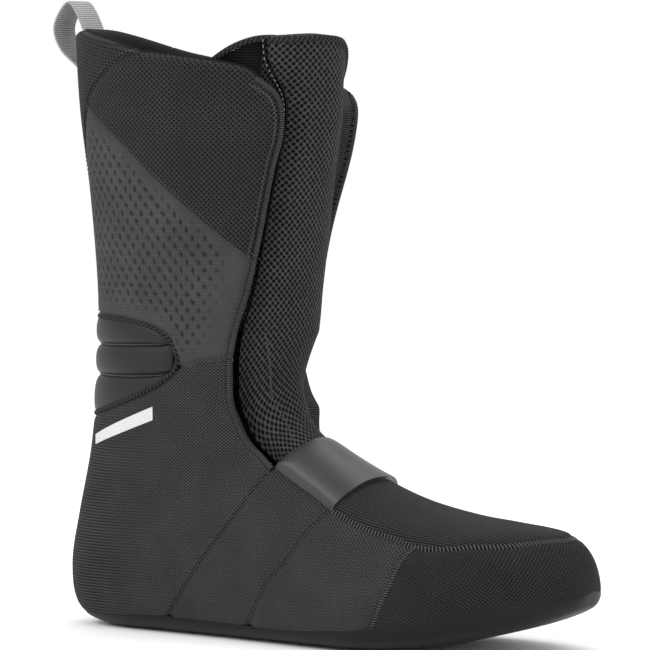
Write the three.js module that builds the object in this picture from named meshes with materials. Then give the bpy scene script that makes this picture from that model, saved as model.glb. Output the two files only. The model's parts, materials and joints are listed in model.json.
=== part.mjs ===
// Inner boot (liner) of a soft snowboard boot, right foot.
//
// Frame: millimetres, +Z up, +X towards the toe, -Y the outer (lateral) side of the foot.
// Every sheet of the boot lies on, or at a set depth under, one closed outer surface: the last.
// A place on the last is a pair [u, w]:
//   u  counts sections from the toe tip (0), round the heel, up the shaft to the top (20);
//   w  runs round a section from the front or top centre line (0) to the back or bottom centre
//      line (1 or -1), positive on the lateral side and negative on the medial side.
import * as THREE from 'three';
import { mergeVertices } from 'three/addons/utils/BufferGeometryUtils.js';

// ---- Driving dimensions, mm ----------------------------------------------------------------

const BOOT_LENGTH = 283; // heel back to toe tip
const SHAFT_HEIGHT = 292; // sole to the top of the rear tab
const FOREFOOT_WIDTH = 98; // widest outer width

const SKIN = 1.6; // outer fabric panels
const FOOT_FOAM = 4.5; // padding round the foot
const SHAFT_FOAM = 6; // padding round the shin
const LINING = 1;
const LAYER_GAP = 0.9; // glue line between two layers of a laminate
const SEAM_GAP = 0.6; // between two panels that meet at a seam
const HINGE_GAP = 0.9; // between two bodies that move past each other

const SOLE_SKIN = 1.8; // cupped rubber-coated outer sole
const SOLE_PROUD = 0.6; // how far the sole stands out of the panels
const BOARD_EDGE_DROP = 0.085; // edge of the board and footbed, in the same measure
const SOLE_EDGE_DROP = 0.015; // sole edge under the panels' edges, as a share of a half section
const BOARD = 1.6; // lasting board
const FOOTBED = 3.6; // removable footbed

const TAPE_WIDTH = 2.6; // edge binding, across
const TAPE_PROUD = 0.5; // edge binding, out of the panel
const TONGUE_FACE = 1.6;
const TONGUE_FOAM = 5.5;
const TONGUE_SINK = 3.4; // how deep the tongue's edges lie under its middle
const THROAT_SINK = 3; // how deep the tongue lies between the throat's edges
const GUSSET = 2; // stretch wing between the tongue and the shaft
const RIB_DEPTH = 7.5; // padded ribs over the Achilles tendon
const BAND_DEPTH = 5; // padded satin band over the instep

const LOOP_WIDTH = 18; // pull loop webbing
const LOOP_THICK = 1.4;
const LOOP_RISE = 16; // above the rear tab
const LOOP_REACH = 17; // behind the rear tab
const LOOP_TAIL = 20; // stitched end on the back of the shaft
const MARK_THICK = 0.5; // plain light bar on the heel

const CELL = 15; // largest facet of a panel

const ORIGIN_FROM_HEEL = 130; // the frame's origin, on the flat of the sole

// ---- The last ------------------------------------------------------------------------------

// Sample size that the sections below were drawn at; other sizes are graded from it.
const SAMPLE_LENGTH = 283;
const SAMPLE_HEIGHT = 292;
const SAMPLE_WIDTH = 98;

// back: bottom or back centre point (x, z); front: top or front centre point (x, z);
// lat, med: sideways extents; mid: where the section is widest, from front (0) to back (1);
// eFront, eBack: how square each half is (2 is an ellipse); bow: bulge of the centre line.
const SECTIONS = [
  { back: [282.5, 25], front: [273, 54.5], lat: 8, med: 8, mid: 0.6, eFront: 3, eBack: 3.2, bow: 5.5 },
  { back: [280, 21.5], front: [267, 56], lat: -10, med: 24, mid: 0.6, eFront: 2.8, eBack: 3.4, bow: 3.5 },
  { back: [266, 15.5], front: [257, 57.6], lat: -28, med: 35, mid: 0.6, eFront: 2.6, eBack: 3.6, bow: 1 },
  { back: [246, 9.5], front: [240, 59.6], lat: -41, med: 43, mid: 0.62, eFront: 2.4, eBack: 3.8, bow: 0 },
  { back: [220, 3.5], front: [219, 62.6], lat: -49, med: 47, mid: 0.66, eFront: 2.2, eBack: 4.2, bow: 0 },
  { back: [190, 0.5], front: [194, 69], lat: -51, med: 46, mid: 0.7, eFront: 2, eBack: 4.5, bow: 0 },
  { back: [160, 0], front: [171, 78.6], lat: -48, med: 42, mid: 0.72, eFront: 1.9, eBack: 4.5, bow: 0 },
  { back: [130, 0], front: [151, 89], lat: -43.5, med: 38, mid: 0.72, eFront: 1.9, eBack: 4.5, bow: 0 },
  { back: [98, 0], front: [139, 98.5], lat: -39.5, med: 35.5, mid: 0.7, eFront: 2, eBack: 4.5, bow: 0 },
  { back: [62, 0], front: [134, 106], lat: -37, med: 34.5, mid: 0.66, eFront: 2.1, eBack: 4.2, bow: 0 },
  { back: [28, 0.3], front: [132.3, 112], lat: -36, med: 34.5, mid: 0.62, eFront: 2.1, eBack: 3.6, bow: 0 },
  { back: [7, 7], front: [131.5, 117], lat: -36, med: 35, mid: 0.6, eFront: 2.1, eBack: 3, bow: 0 },
  { back: [1, 27], front: [131, 121], lat: -36.5, med: 35.5, mid: 0.58, eFront: 2.1, eBack: 2.6, bow: 0 },
  { back: [5, 54], front: [131, 126], lat: -37.5, med: 36.5, mid: 0.56, eFront: 2.1, eBack: 2.4, bow: 0 },
  { back: [11.5, 84], front: [131.5, 133], lat: -39, med: 38, mid: 0.54, eFront: 2.1, eBack: 2.3, bow: 0 },
  { back: [14.5, 112], front: [132.5, 143], lat: -41, med: 40, mid: 0.52, eFront: 2.1, eBack: 2.2, bow: 0 },
  { back: [16.5, 140], front: [133.5, 155], lat: -43.5, med: 42.5,
    mid: 0.5, eFront: 2.1, eBack: 2.2, bow: 0 },
  { back: [17.5, 170], front: [135, 173], lat: -46.5, med: 45.5, mid: 0.5, eFront: 2.1, eBack: 2.2, bow: 0 },
  { back: [15, 210], front: [140, 210], lat: -51, med: 50, mid: 0.5, eFront: 2.1, eBack: 2.2, bow: 0 },
  { back: [9.5, 254], front: [148, 254], lat: -55, med: 54, mid: 0.5, eFront: 2.15, eBack: 2.2, bow: 0 },
  { back: [7, 292], front: [152, 292], lat: -57, med: 56, mid: 0.5, eFront: 2.15, eBack: 2.2, bow: 0 },
];
const TOP = SECTIONS.length - 1;
const ARC_STEPS = 48; // points along half a section
const TIP_ZONE = 0.8; // sections in which the toe's normals are taken from its core

const gradeX = (x) => (x * BOOT_LENGTH) / SAMPLE_LENGTH;
const gradeY = (y) => (y * FOREFOOT_WIDTH) / SAMPLE_WIDTH;
const gradeZ = (z) => (z * SHAFT_HEIGHT) / SAMPLE_HEIGHT;

// One section as numbers that can be blended with its neighbours.
const sectionRow = (s) => [
  gradeX(s.back[0]), gradeZ(s.back[1]), gradeX(s.front[0]), gradeZ(s.front[1]),
  gradeY(s.lat), gradeY(s.med), s.mid, s.eFront, s.eBack, s.bow,
];
const ROWS = SECTIONS.map(sectionRow);

// Past the tip the sections repeat with their sides swapped, so the toe is round; past the top
// they go on straight.
function rowAt(index) {
  if (index < 0) {
    const row = [...ROWS[-index]];
    [row[4], row[5]] = [row[5], row[4]];
    return row;
  }
  if (index <= TOP) return ROWS[index];
  return ROWS[TOP].map((value, k) => 2 * value - ROWS[TOP - 1][k]);
}

function catmullRom(p0, p1, p2, p3, f) {
  const a = -p0 + p2;
  const b = 2 * p0 - 5 * p1 + 4 * p2 - p3;
  const c = -p0 + 3 * p1 - 3 * p2 + p3;
  return 0.5 * (2 * p1 + a * f + b * f * f + c * f * f * f);
}

function blendedRow(u) {
  const i = Math.min(Math.floor(u), TOP - 1);
  const rows = [i - 1, i, i + 1, i + 2].map(rowAt);
  return rows[0].map((_, k) => catmullRom(rows[0][k], rows[1][k], rows[2][k], rows[3][k], u - i));
}

// Half a section as points with their running lengths, from front (0) to back (1).
function halfSection(row, side) {
  const [bx, bz, fx, fz, lat, med, mid, eFront, eBack, bow] = row;
  const span = Math.hypot(bx - fx, bz - fz);
  const centreY = (lat + med) / 2;
  const reachY = (side > 0 ? lat : med) - centreY;
  const points = [];
  for (let k = 0; k <= ARC_STEPS; k += 1) {
    const angle = (Math.PI * k) / ARC_STEPS;
    const power = 2 / (k < ARC_STEPS / 2 ? eFront : eBack);
    const along = Math.sign(Math.cos(angle)) * Math.abs(Math.cos(angle)) ** power;
    const t = along > 0 ? mid - mid * along : mid - (1 - mid) * along;
    const bulge = (4 * bow * t * (1 - t)) / span;
    const x = fx + (bx - fx) * t + bulge * (fz - bz);
    const z = fz + (bz - fz) * t + bulge * (bx - fx);
    points.push(new THREE.Vector3(x, centreY + reachY * Math.abs(Math.sin(angle)) ** power, z));
  }
  const lengths = [0];
  for (let k = 1; k <= ARC_STEPS; k += 1) {
    lengths.push(lengths[k - 1] + points[k].distanceTo(points[k - 1]));
  }
  return { points, lengths };
}

const halfSections = new Map();

function cachedHalf(u, side) {
  const key = `${u.toFixed(5)}|${side}`;
  if (!halfSections.has(key)) halfSections.set(key, halfSection(blendedRow(u), side));
  return halfSections.get(key);
}

// The point of the outer surface at [u, w].
function skinPoint(u, w) {
  if (u < 0) return skinPoint(-u, -w);
  const turned = w > 1 ? w - 2 : w < -1 ? w + 2 : w;
  const { points, lengths } = cachedHalf(u, turned >= 0 ? 1 : -1);
  const target = Math.abs(turned) * lengths[ARC_STEPS];
  let k = 1;
  while (k < ARC_STEPS && lengths[k] < target) k += 1;
  const f = (target - lengths[k - 1]) / (lengths[k] - lengths[k - 1]);
  return new THREE.Vector3().lerpVectors(points[k - 1], points[k], f);
}

// A point well inside the boot at section u, used to tell outward from inward.
function corePoint(u) {
  const [bx, bz, fx, fz, lat, med, mid] = blendedRow(Math.max(u, 2));
  return new THREE.Vector3(fx + (bx - fx) * mid, (lat + med) / 2, fz + (bz - fz) * mid);
}

// The outward normal at [u, w].
function skinNormal(u, w) {
  const stepU = 0.04;
  const stepW = 0.006;
  const along = skinPoint(u + stepU, w).sub(skinPoint(u - stepU, w));
  const around = skinPoint(u, w + stepW).sub(skinPoint(u, w - stepW));
  const outward = skinPoint(u, w).sub(corePoint(u)).normalize();
  const normal = along.cross(around).normalize();
  if (normal.dot(outward) < 0) normal.negate();
  const trust = THREE.MathUtils.smoothstep(u, 0, TIP_ZONE);
  return outward.lerp(normal, trust).normalize();
}

// ---- Seams and edges -----------------------------------------------------------------------

// A curve through [u, w] places, run from 0 to 1 by its length on the boot.
function seam(places) {
  const fine = [];
  const last = places.length - 1;
  for (let i = 0; i < last; i += 1) {
    const p0 = places[Math.max(i - 1, 0)];
    const p3 = places[Math.min(i + 2, last)];
    for (let k = 0; k < 8; k += 1) {
      const f = k / 8;
      fine.push([0, 1].map((c) => catmullRom(p0[c], places[i][c], places[i + 1][c], p3[c], f)));
    }
  }
  fine.push(places[last]);
  return byLength(fine);
}

function byLength(places) {
  const points = places.map(([u, w]) => skinPoint(u, w));
  const lengths = [0];
  for (let i = 1; i < points.length; i += 1) {
    lengths.push(lengths[i - 1] + points[i].distanceTo(points[i - 1]));
  }
  const total = lengths[lengths.length - 1];
  const curve = (t) => {
    const target = t * total;
    let i = 1;
    while (i < lengths.length - 1 && lengths[i] < target) i += 1;
    const f = (target - lengths[i - 1]) / (lengths[i] - lengths[i - 1] || 1);
    return [0, 1].map((c) => places[i - 1][c] + (places[i][c] - places[i - 1][c]) * f);
  };
  curve.total = total;
  return curve;
}

const sampled = (curve, count = 24) => Array.from({ length: count + 1 }, (_, k) => curve(k / count));
const reversed = (curve) => byLength(sampled(curve).reverse());
const joined = (...curves) => byLength(curves.flatMap((curve, k) => sampled(curve).slice(k ? 1 : 0)));
const PART_STEPS = 12;
const part = (curve, from, to) => {
  const place = (k) => curve(from + ((to - from) * k) / PART_STEPS);
  return byLength(Array.from({ length: PART_STEPS + 1 }, (_, k) => place(k)));
};
const mirrored = (curve) => byLength(sampled(curve).map(([u, w]) => [u, -w]));

// The run of a curve that lies between two values of u.
function between(curve, fromU, toU) {
  const find = (target) => {
    const fine = 400;
    let best = 0;
    for (let k = 0; k <= fine; k += 1) {
      if (Math.abs(curve(k / fine)[0] - target) < Math.abs(curve(best / fine)[0] - target)) best = k;
    }
    return best / fine;
  };
  return part(curve, find(fromU), find(toU));
}

// All seams are drawn for the lateral side; the medial side mirrors them.
const SOLE_EDGE = seam([[0, 0.845], [0.7, 0.735], [1.4, 0.64], [2.5, 0.577], [3.7, 0.575], [5.15, 0.62],
  [6.8, 0.7], [8.45, 0.76], [9.95, 0.825], [10.6, 0.885], [11, 0.96]]);
const VAMP_SEAM = seam([[6.2, 0.24], [5.3, 0.26], [4.7, 0.27], [4.2, 0.297], [3.55, 0.3], [3, 0.285],
  [2.15, 0.27], [1.1, 0.195], [0.5, 0.12], [0, 0]]);
const TOE_SEAM = seam([[4.2, 0.297], [4.35, 0.36], [4.45, 0.45], [4.6, 0.525], [4.75, 0.606]]);
const BALL_SEAM = seam([[6.2, 0.24], [6.5, 0.345], [6.75, 0.455], [7.1, 0.57], [7.3, 0.719]]);
const ARCH_SEAM = seam([[8.3, 0.207], [8.45, 0.285], [8.55, 0.39], [8.75, 0.56], [8.85, 0.776]]);
const BAND_FRONT = seam([[6.2, 0.24], [6, 0.155], [5.9, 0.085], [5.8, 0], [5.9, -0.085], [6, -0.155],
  [6.2, -0.24]]);
const BAND_REAR = seam([[8.3, 0.207], [8.15, 0.14], [7.95, 0.075], [7.85, 0], [7.95, -0.075], [8.15, -0.14],
  [8.3, -0.207]]);
const THROAT = seam([[6.2, 0.24], [6.8, 0.217], [7.55, 0.21], [8.3, 0.207], [9.6, 0.195], [11.65, 0.2],
  [13.3, 0.24], [14.2, 0.255], [14.9, 0.262]]);

// The shaft flexes on the quarter along the ankle line, and opens over the ribs behind it.
const ANKLE_LINE = seam([[14.9, 0.262], [15.05, 0.36], [15.05, 0.42], [14.85, 0.475], [14.7, 0.54],
  [14.65, 0.685], [14.7, 0.85], [14.7, 1]]);
const RIB_OUTLINE_TOP = seam([[15.83, 0.475], [16.07, 0.515], [16.27, 0.59], [16.42, 0.72], [16.5, 1]]);
const RIB_VALLEYS = [
  seam([[14.93, 0.48], [15.12, 0.6], [15.38, 0.8], [15.48, 1]]),
  seam([[15.7, 0.47], [15.82, 0.6], [15.95, 0.8], [16, 1]]),
];
const RIB_TIP = 0.458; // w of the middle rib's front end
const FLEX_RELIEF = 0.24; // u by which the shaft clears the quarter in front of the flex axis
const CUFF_TURN = [16.44, 0.72]; // where the cuff's lower edge rounds the ribs' top corner
const PAD_CORNER = [16.47, 0.8]; // lower meeting point of the side pad and the spine pad
const UPPER_SIDE_END = 0.92; // share of the tab seam that the upper side panel follows
const PAD_TOP_W = 0.78; // their upper meeting point, along the top edge
const CUFF_LINE = seam([[14.9 + FLEX_RELIEF, 0.262], [15.12, 0.36], [15.14, 0.42], [15.5, 0.45],
  [15.87, 0.46], [16.1, 0.5], [16.29, 0.58], CUFF_TURN, [16.52, 1]]);

const CUFF_FRONT = seam([[14.9 + FLEX_RELIEF, 0.262], [15.85, 0.25], [16.6, 0.228], [17.3, 0.205]]);
const FLAP_FRONT = seam([[17.4, 0.202], [17.75, 0.19], [18.4, 0.174], [18.7, 0.163], [18.95, 0.164],
  [19.15, 0.175], [19.3, 0.197], [19.45, 0.24]]);
const FLAP_TOP = seam([[19.45, 0.24], [19.55, 0.275], [19.63, 0.35], [19.7, 0.45], [19.75, 0.545]]);
const FOLD = seam([[17.4, 0.235], [18.57, 0.415], [19.75, 0.545]]);
const DIAGONAL = seam([[17.3, 0.205], [17.7, 0.33], [18, 0.42], [18.3, 0.51], [18.7, 0.63], [19.05, 0.765]]);
const SPINE_EDGE = seam([[16.49, 0.86], [17.4, 0.87], [18.3, 0.845], [19.05, 0.765]]);
const TAB_SEAM = seam([[19.05, 0.765], [19.3, 0.715], [19.47, 0.665], [19.62, 0.625], [19.7, 0.585],
  [19.75, 0.545]]);
const TAB_TOP = seam([[19.75, 0.545], [19.84, 0.62], [19.93, 0.72], [19.97, 0.86], [19.97, 1]]);

const TONGUE_EDGE_LOW = seam([[8.16, 0.15], [9.6, 0.155], [11.65, 0.165], [13.3, 0.2], [14.9, 0.225],
  [15.9, 0.212]]);
const TONGUE_EDGE_HIGH = seam([[15.9, 0.212], [17.3, 0.173], [18.4, 0.142], [18.9, 0.134], [19.2, 0.15],
  [19.45, 0.185], [19.62, 0.215], [19.82, 0.225]]);
const TONGUE_TOP_U = 19.8; // at the front centre line
const TONGUE_ROOT_U = 7.87;

// ---- Sheets and solids ---------------------------------------------------------------------

const lerpPlace = (a, b, f) => [a[0] + (b[0] - a[0]) * f, a[1] + (b[1] - a[1]) * f];

// A place inside four boundary curves. low and high run left to right, left and right run up.
function coonsPlace({ low, high, left, right }, s, t) {
  const place = [];
  for (const c of [0, 1]) {
    const ruled = low(s)[c] * (1 - t) + high(s)[c] * t + left(t)[c] * (1 - s) + right(t)[c] * s;
    const corners = low(0)[c] * (1 - s) * (1 - t) + low(1)[c] * s * (1 - t)
      + high(0)[c] * (1 - s) * t + high(1)[c] * s * t;
    place.push(ruled - corners);
  }
  return place;
}

const cells = (a, b, size) => Math.max(2, Math.ceil(Math.max(a.total, b.total) / size));

// Toe places run across the tip with u signed, so that both sides are one chart.
const toeChart = ([q, v]) => [Math.abs(q), q >= 0 ? v : -v];

// A grid of surface points and normals over a region, its edges drawn in by the given insets.
function makeGrid(region, options = {}) {
  const { size = CELL, inset = {}, chart = (place) => place } = options;
  const columns = options.columns ?? cells(region.low, region.high, size);
  const rows = options.rows ?? cells(region.left, region.right, size);
  const points = [];
  const normals = [];
  for (let j = 0; j <= rows; j += 1) {
    points.push([]);
    normals.push([]);
    for (let i = 0; i <= columns; i += 1) {
      const [u, w] = chart(coonsPlace(region, i / columns, j / rows));
      points[j].push(skinPoint(u, w));
      normals[j].push(skinNormal(u, w));
    }
  }
  return drawnIn({ points, normals, columns, rows }, inset);
}

// One over the sine of the angle between two directions, so that an edge that is crossed at a
// slant still moves by its full distance square to itself.
const slant = (inward, edge) => 1 / Math.max(inward.clone().cross(edge).length(), 0.35);

// Draws the edges of a grid in. Each point moves along its own row and column, and the move
// fades out across the grid, so that no cell folds over.
function drawnIn(grid, inset) {
  const { points, columns, rows } = grid;
  const half = SEAM_GAP / 2;
  const edges = { low: half, high: half, left: half, right: half, ...inset };
  const { low, high, left, right } = Object.fromEntries(
    Object.entries(edges).map(([name, value]) => [name, asFunction(value)]),
  );
  const towards = (j, i, j2, i2) => points[j2][i2].clone().sub(points[j][i]).normalize();
  const alongRow = (j, i) => towards(j, i, j, i < columns ? i + 1 : i - 1);
  const alongColumn = (j, i) => towards(j, i, j < rows ? j + 1 : j - 1, i);
  const moves = points.map((row) => row.map(() => new THREE.Vector3()));
  const push = (j, i, direction, amount) => moves[j][i].addScaledVector(direction, amount);
  for (let j = 0; j <= rows; j += 1) {
    const t = j / rows;
    const atLeft = left(t) * slant(alongRow(j, 0), alongColumn(j, 0));
    const atRight = right(t) * slant(alongRow(j, columns), alongColumn(j, columns));
    for (let i = 0; i <= columns; i += 1) {
      const s = i / columns;
      if (i < columns) push(j, i, towards(j, i, j, i + 1), atLeft * (1 - s));
      if (i > 0) push(j, i, towards(j, i, j, i - 1), atRight * s);
    }
  }
  for (let i = 0; i <= columns; i += 1) {
    const s = i / columns;
    const atLow = low(s) * slant(alongColumn(0, i), alongRow(0, i));
    const atHigh = high(s) * slant(alongColumn(rows, i), alongRow(rows, i));
    for (let j = 0; j <= rows; j += 1) {
      const t = j / rows;
      if (j < rows) push(j, i, towards(j, i, j + 1, i), atLow * (1 - t));
      if (j > 0) push(j, i, towards(j, i, j - 1, i), atHigh * t);
    }
  }
  points.forEach((row, j) => row.forEach((point, i) => point.add(moves[j][i])));
  return grid;
}

const asFunction = (depth) => (typeof depth === 'function' ? depth : () => depth);

// The closed solid between two depths under a grid. A grid whose first row is folded on itself,
// as at the toe tip, has no wall there.
function slab(grid, outer, inner, { folded = false, floor = -Infinity } = {}) {
  const { points, normals, columns, rows } = grid;
  const depths = [asFunction(outer), asFunction(inner)];
  const positions = [];
  const stride = columns + 1;
  const layer = stride * (rows + 1);
  for (const depth of depths) {
    for (let j = 0; j <= rows; j += 1) {
      for (let i = 0; i <= columns; i += 1) {
        const p = points[j][i].clone().addScaledVector(normals[j][i], -depth(i / columns, j / rows));
        positions.push(p.x, p.y, Math.max(p.z, floor));
      }
    }
  }
  const faces = [];
  const quad = (a, b, c, d) => faces.push(a, b, c, a, c, d);
  const at = (j, i) => j * stride + i;
  for (let j = 0; j < rows; j += 1) {
    for (let i = 0; i < columns; i += 1) {
      quad(at(j, i), at(j, i + 1), at(j + 1, i + 1), at(j + 1, i));
      quad(layer + at(j, i), layer + at(j + 1, i), layer + at(j + 1, i + 1), layer + at(j, i + 1));
    }
  }
  const wall = (a, b) => quad(a, layer + a, layer + b, b);
  for (let i = 0; i < columns; i += 1) {
    if (!folded) wall(at(0, i), at(0, i + 1));
    wall(at(rows, i + 1), at(rows, i));
  }
  for (let j = 0; j < rows; j += 1) {
    wall(at(j + 1, 0), at(j, 0));
    wall(at(j, columns), at(j + 1, columns));
  }
  return closedGeometry(positions, faces);
}

// Merges shared corners, drops empty faces and turns the faces outward.
function closedGeometry(positions, faces) {
  const raw = new THREE.BufferGeometry();
  raw.setAttribute('position', new THREE.Float32BufferAttribute(positions, 3));
  raw.setIndex(faces);
  const merged = mergeVertices(raw, 1e-3);
  const index = Array.from(merged.getIndex().array);
  const kept = [];
  for (let k = 0; k < index.length; k += 3) {
    const [a, b, c] = index.slice(k, k + 3);
    if (a !== b && b !== c && c !== a) kept.push(a, b, c);
  }
  if (signedVolume(merged.getAttribute('position'), kept) < 0) kept.reverse();
  merged.setIndex(kept);
  return merged;
}

function signedVolume(position, index) {
  const [a, b, c] = [0, 1, 2].map(() => new THREE.Vector3());
  let six = 0;
  for (let k = 0; k < index.length; k += 3) {
    a.fromBufferAttribute(position, index[k]);
    b.fromBufferAttribute(position, index[k + 1]);
    c.fromBufferAttribute(position, index[k + 2]);
    six += a.dot(b.cross(c));
  }
  return six / 6;
}

// A strip along an edge, from the edge itself to `width` inside it.
function edgeStrip(curve, inwardSign, width, rows) {
  const points = [];
  const normals = [];
  for (let j = 0; j <= rows; j += 1) {
    const here = skinPoint(...curve(j / rows));
    const ahead = skinPoint(...curve(Math.min(j / rows + 0.02, 1)));
    const behind = skinPoint(...curve(Math.max(j / rows - 0.02, 0)));
    const normal = skinNormal(...curve(j / rows));
    const inward = ahead.sub(behind).cross(normal).normalize().multiplyScalar(inwardSign);
    points.push([here, here.clone().addScaledVector(inward, width)]);
    normals.push([normal, normal]);
  }
  return { points, normals, columns: 1, rows };
}

// ---- Materials -----------------------------------------------------------------------------

const finish = (color, roughness) => new THREE.MeshStandardMaterial({ color, roughness, metalness: 0 });
const coarseMesh = () => finish(0x2e2e2e, 0.9);
const dimpledJersey = () => finish(0x474747, 0.92);
const quarterMesh = () => finish(0x303030, 0.9);
const stretchKnit = () => finish(0x2a2a2a, 0.85);
const spacerMesh = () => finish(0x2b2b2b, 0.9);
const leatherette = () => finish(0x3c3c3c, 0.55);
const satin = () => finish(0x1f1f1f, 0.4);
const soleCoat = () => finish(0x1e1e1e, 0.5);
const boardFibre = () => finish(0x3a3835, 0.9);
const bedFabric = () => finish(0x262626, 0.95);
const foam = () => finish(0x38393b, 0.95);
const liningFabric = () => finish(0x242424, 0.95);
const bindingTape = () => finish(0x1b1b1b, 0.7);
const webbing = () => finish(0xd9d9d9, 0.8);
const lightPrint = () => finish(0xdcdcdc, 0.6);

// ---- Assembly ------------------------------------------------------------------------------

const group = new THREE.Group();
group.position.x = -gradeX(ORIGIN_FROM_HEEL);

function add(name, geometry, material) {
  const mesh = new THREE.Mesh(geometry, material);
  mesh.name = name;
  group.add(mesh);
}

const SIDES = [
  { label: 'lateral', turn: (curve) => curve, sign: 1 },
  { label: 'medial', turn: mirrored, sign: -1 },
];
const turned = (side, region) => ({
  low: side.turn(region.low),
  high: side.turn(region.high),
  left: side.turn(region.left),
  right: side.turn(region.right),
});
const line = (from, to) => byLength(Array.from({ length: 9 }, (_, k) => lerpPlace(from, to, k / 8)));

// Depths of the layers under the outer surface.
const FOOT_FOAM_TOP = SKIN + LAYER_GAP;
const FOOT_INSIDE = FOOT_FOAM_TOP + FOOT_FOAM;
const SHAFT_FOAM_TOP = SKIN + LAYER_GAP;
const SHAFT_FOAM_END = SHAFT_FOAM_TOP + SHAFT_FOAM;
const SHAFT_LINING_TOP = SHAFT_FOAM_END + LAYER_GAP;
const SHAFT_INSIDE = SHAFT_LINING_TOP + LINING;

const TAPED = TAPE_WIDTH + SEAM_GAP / 2; // inset of a panel whose edge is bound

const SOLE_EDGE_LIMIT = 0.985; // a tray's edge stops short of the bottom centre line

const soleEdgeW = (u) => {
  const places = sampled(SOLE_EDGE, 200);
  let k = 1;
  while (k < places.length - 1 && places[k][0] < u) k += 1;
  const [[u0, w0], [u1, w1]] = [places[k - 1], places[k]];
  return w0 + ((w1 - w0) * (u - u0)) / (u1 - u0);
};

// A tray over the bottom, from one side's edge through the bottom centre line to the other's.
function solePlate(fromU, toU, edgeInset, columns, rows) {
  const points = [];
  const normals = [];
  for (let j = 0; j <= rows; j += 1) {
    const u = fromU + ((toU - fromU) * j) / rows;
    const edge = Math.min(soleEdgeW(u) + edgeInset, SOLE_EDGE_LIMIT);
    points.push([]);
    normals.push([]);
    for (let i = 0; i <= columns; i += 1) {
      const w = edge + (2 - 2 * edge) * (i / columns);
      points[j].push(skinPoint(u, w));
      normals[j].push(skinNormal(u, w));
    }
  }
  return { points, normals, columns, rows };
}

function addSole() {
  const outsole = solePlate(0, 10.97, SOLE_EDGE_DROP, 10, 20);
  add('outsole', slab(outsole, -SOLE_PROUD, SOLE_SKIN - SOLE_PROUD, { folded: true, floor: 0 }), soleCoat());
  const boardTop = SOLE_SKIN - SOLE_PROUD + LAYER_GAP + SOLE_PROUD;
  const board = solePlate(0.8, 10.2, BOARD_EDGE_DROP, 8, 14);
  add('lasting_board', slab(board, boardTop, boardTop + BOARD), boardFibre());
  const bedTop = boardTop + BOARD + LAYER_GAP;
  add('footbed', slab(board, bedTop, bedTop + FOOTBED), bedFabric());
}

function addToe() {
  const vampCorner = between(VAMP_SEAM, 4.2, 0);
  const soleRun = between(SOLE_EDGE, 0, 4.75);
  const lateralTop = sampled(vampCorner);
  const top = [...lateralTop, ...lateralTop.slice(0, -1).reverse().map(([u, w]) => [-u, w])];
  const lateralSole = sampled(soleRun).reverse();
  const bottom = [...lateralSole, ...lateralSole.slice(0, -1).reverse().map(([u, w]) => [-u, w])];
  const region = {
    low: byToeLength(bottom),
    high: byToeLength(top),
    left: reversed(TOE_SEAM),
    right: byToeLength(sampled(TOE_SEAM).reverse().map(([u, w]) => [-u, w])),
  };
  const grid = makeGrid(region, { columns: 18, rows: 5, chart: toeChart });
  add('toe_cap', slab(grid, 0, SKIN), quarterMesh());
  add('toe_foam', slab(grid, FOOT_FOAM_TOP, FOOT_INSIDE), foam());
}

// As byLength, for places whose u is signed across the tip.
function byToeLength(places) {
  const points = places.map((place) => skinPoint(...toeChart(place)));
  const lengths = [0];
  for (let i = 1; i < points.length; i += 1) {
    lengths.push(lengths[i - 1] + points[i].distanceTo(points[i - 1]));
  }
  const total = lengths[lengths.length - 1];
  const curve = (t) => {
    let i = 1;
    while (i < lengths.length - 1 && lengths[i] < t * total) i += 1;
    const f = (t * total - lengths[i - 1]) / (lengths[i] - lengths[i - 1] || 1);
    return lerpPlace(places[i - 1], places[i], f);
  };
  curve.total = total;
  return curve;
}

function addVamp() {
  const edge = between(VAMP_SEAM, 6.2, 0.45);
  const front = edge(1);
  const region = {
    low: BAND_FRONT,
    high: line(front, [front[0], -front[1]]),
    left: edge,
    right: mirrored(edge),
  };
  const grid = makeGrid(region, { columns: 7, rows: 8 });
  add('vamp', slab(grid, 0, SKIN), stretchKnit());
  add('vamp_foam', slab(grid, FOOT_FOAM_TOP, FOOT_INSIDE), foam());
}

function addInstepBand() {
  const edge = between(THROAT, 6.2, 8.3);
  const region = { low: BAND_FRONT, high: BAND_REAR, left: edge, right: mirrored(edge) };
  add('instep_band', slab(makeGrid(region, { columns: 7, rows: 4 }), 0, BAND_DEPTH), satin());
}

function addSidePanels(side) {
  const forefoot = {
    low: between(SOLE_EDGE, 7.3, 4.75),
    high: between(VAMP_SEAM, 6.2, 4.2),
    left: reversed(BALL_SEAM),
    right: reversed(TOE_SEAM),
  };
  const midfoot = {
    low: between(SOLE_EDGE, 8.85, 7.3),
    high: between(THROAT, 8.3, 6.2),
    left: reversed(ARCH_SEAM),
    right: reversed(BALL_SEAM),
  };
  for (const [name, region] of [['forefoot', forefoot], ['midfoot', midfoot]]) {
    const grid = makeGrid(turned(side, region), { size: 14 });
    add(`${name}_panel_${side.label}`, slab(grid, 0, SKIN), quarterMesh());
    add(`${name}_foam_${side.label}`, slab(grid, FOOT_FOAM_TOP, FOOT_INSIDE), foam());
  }
}

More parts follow.
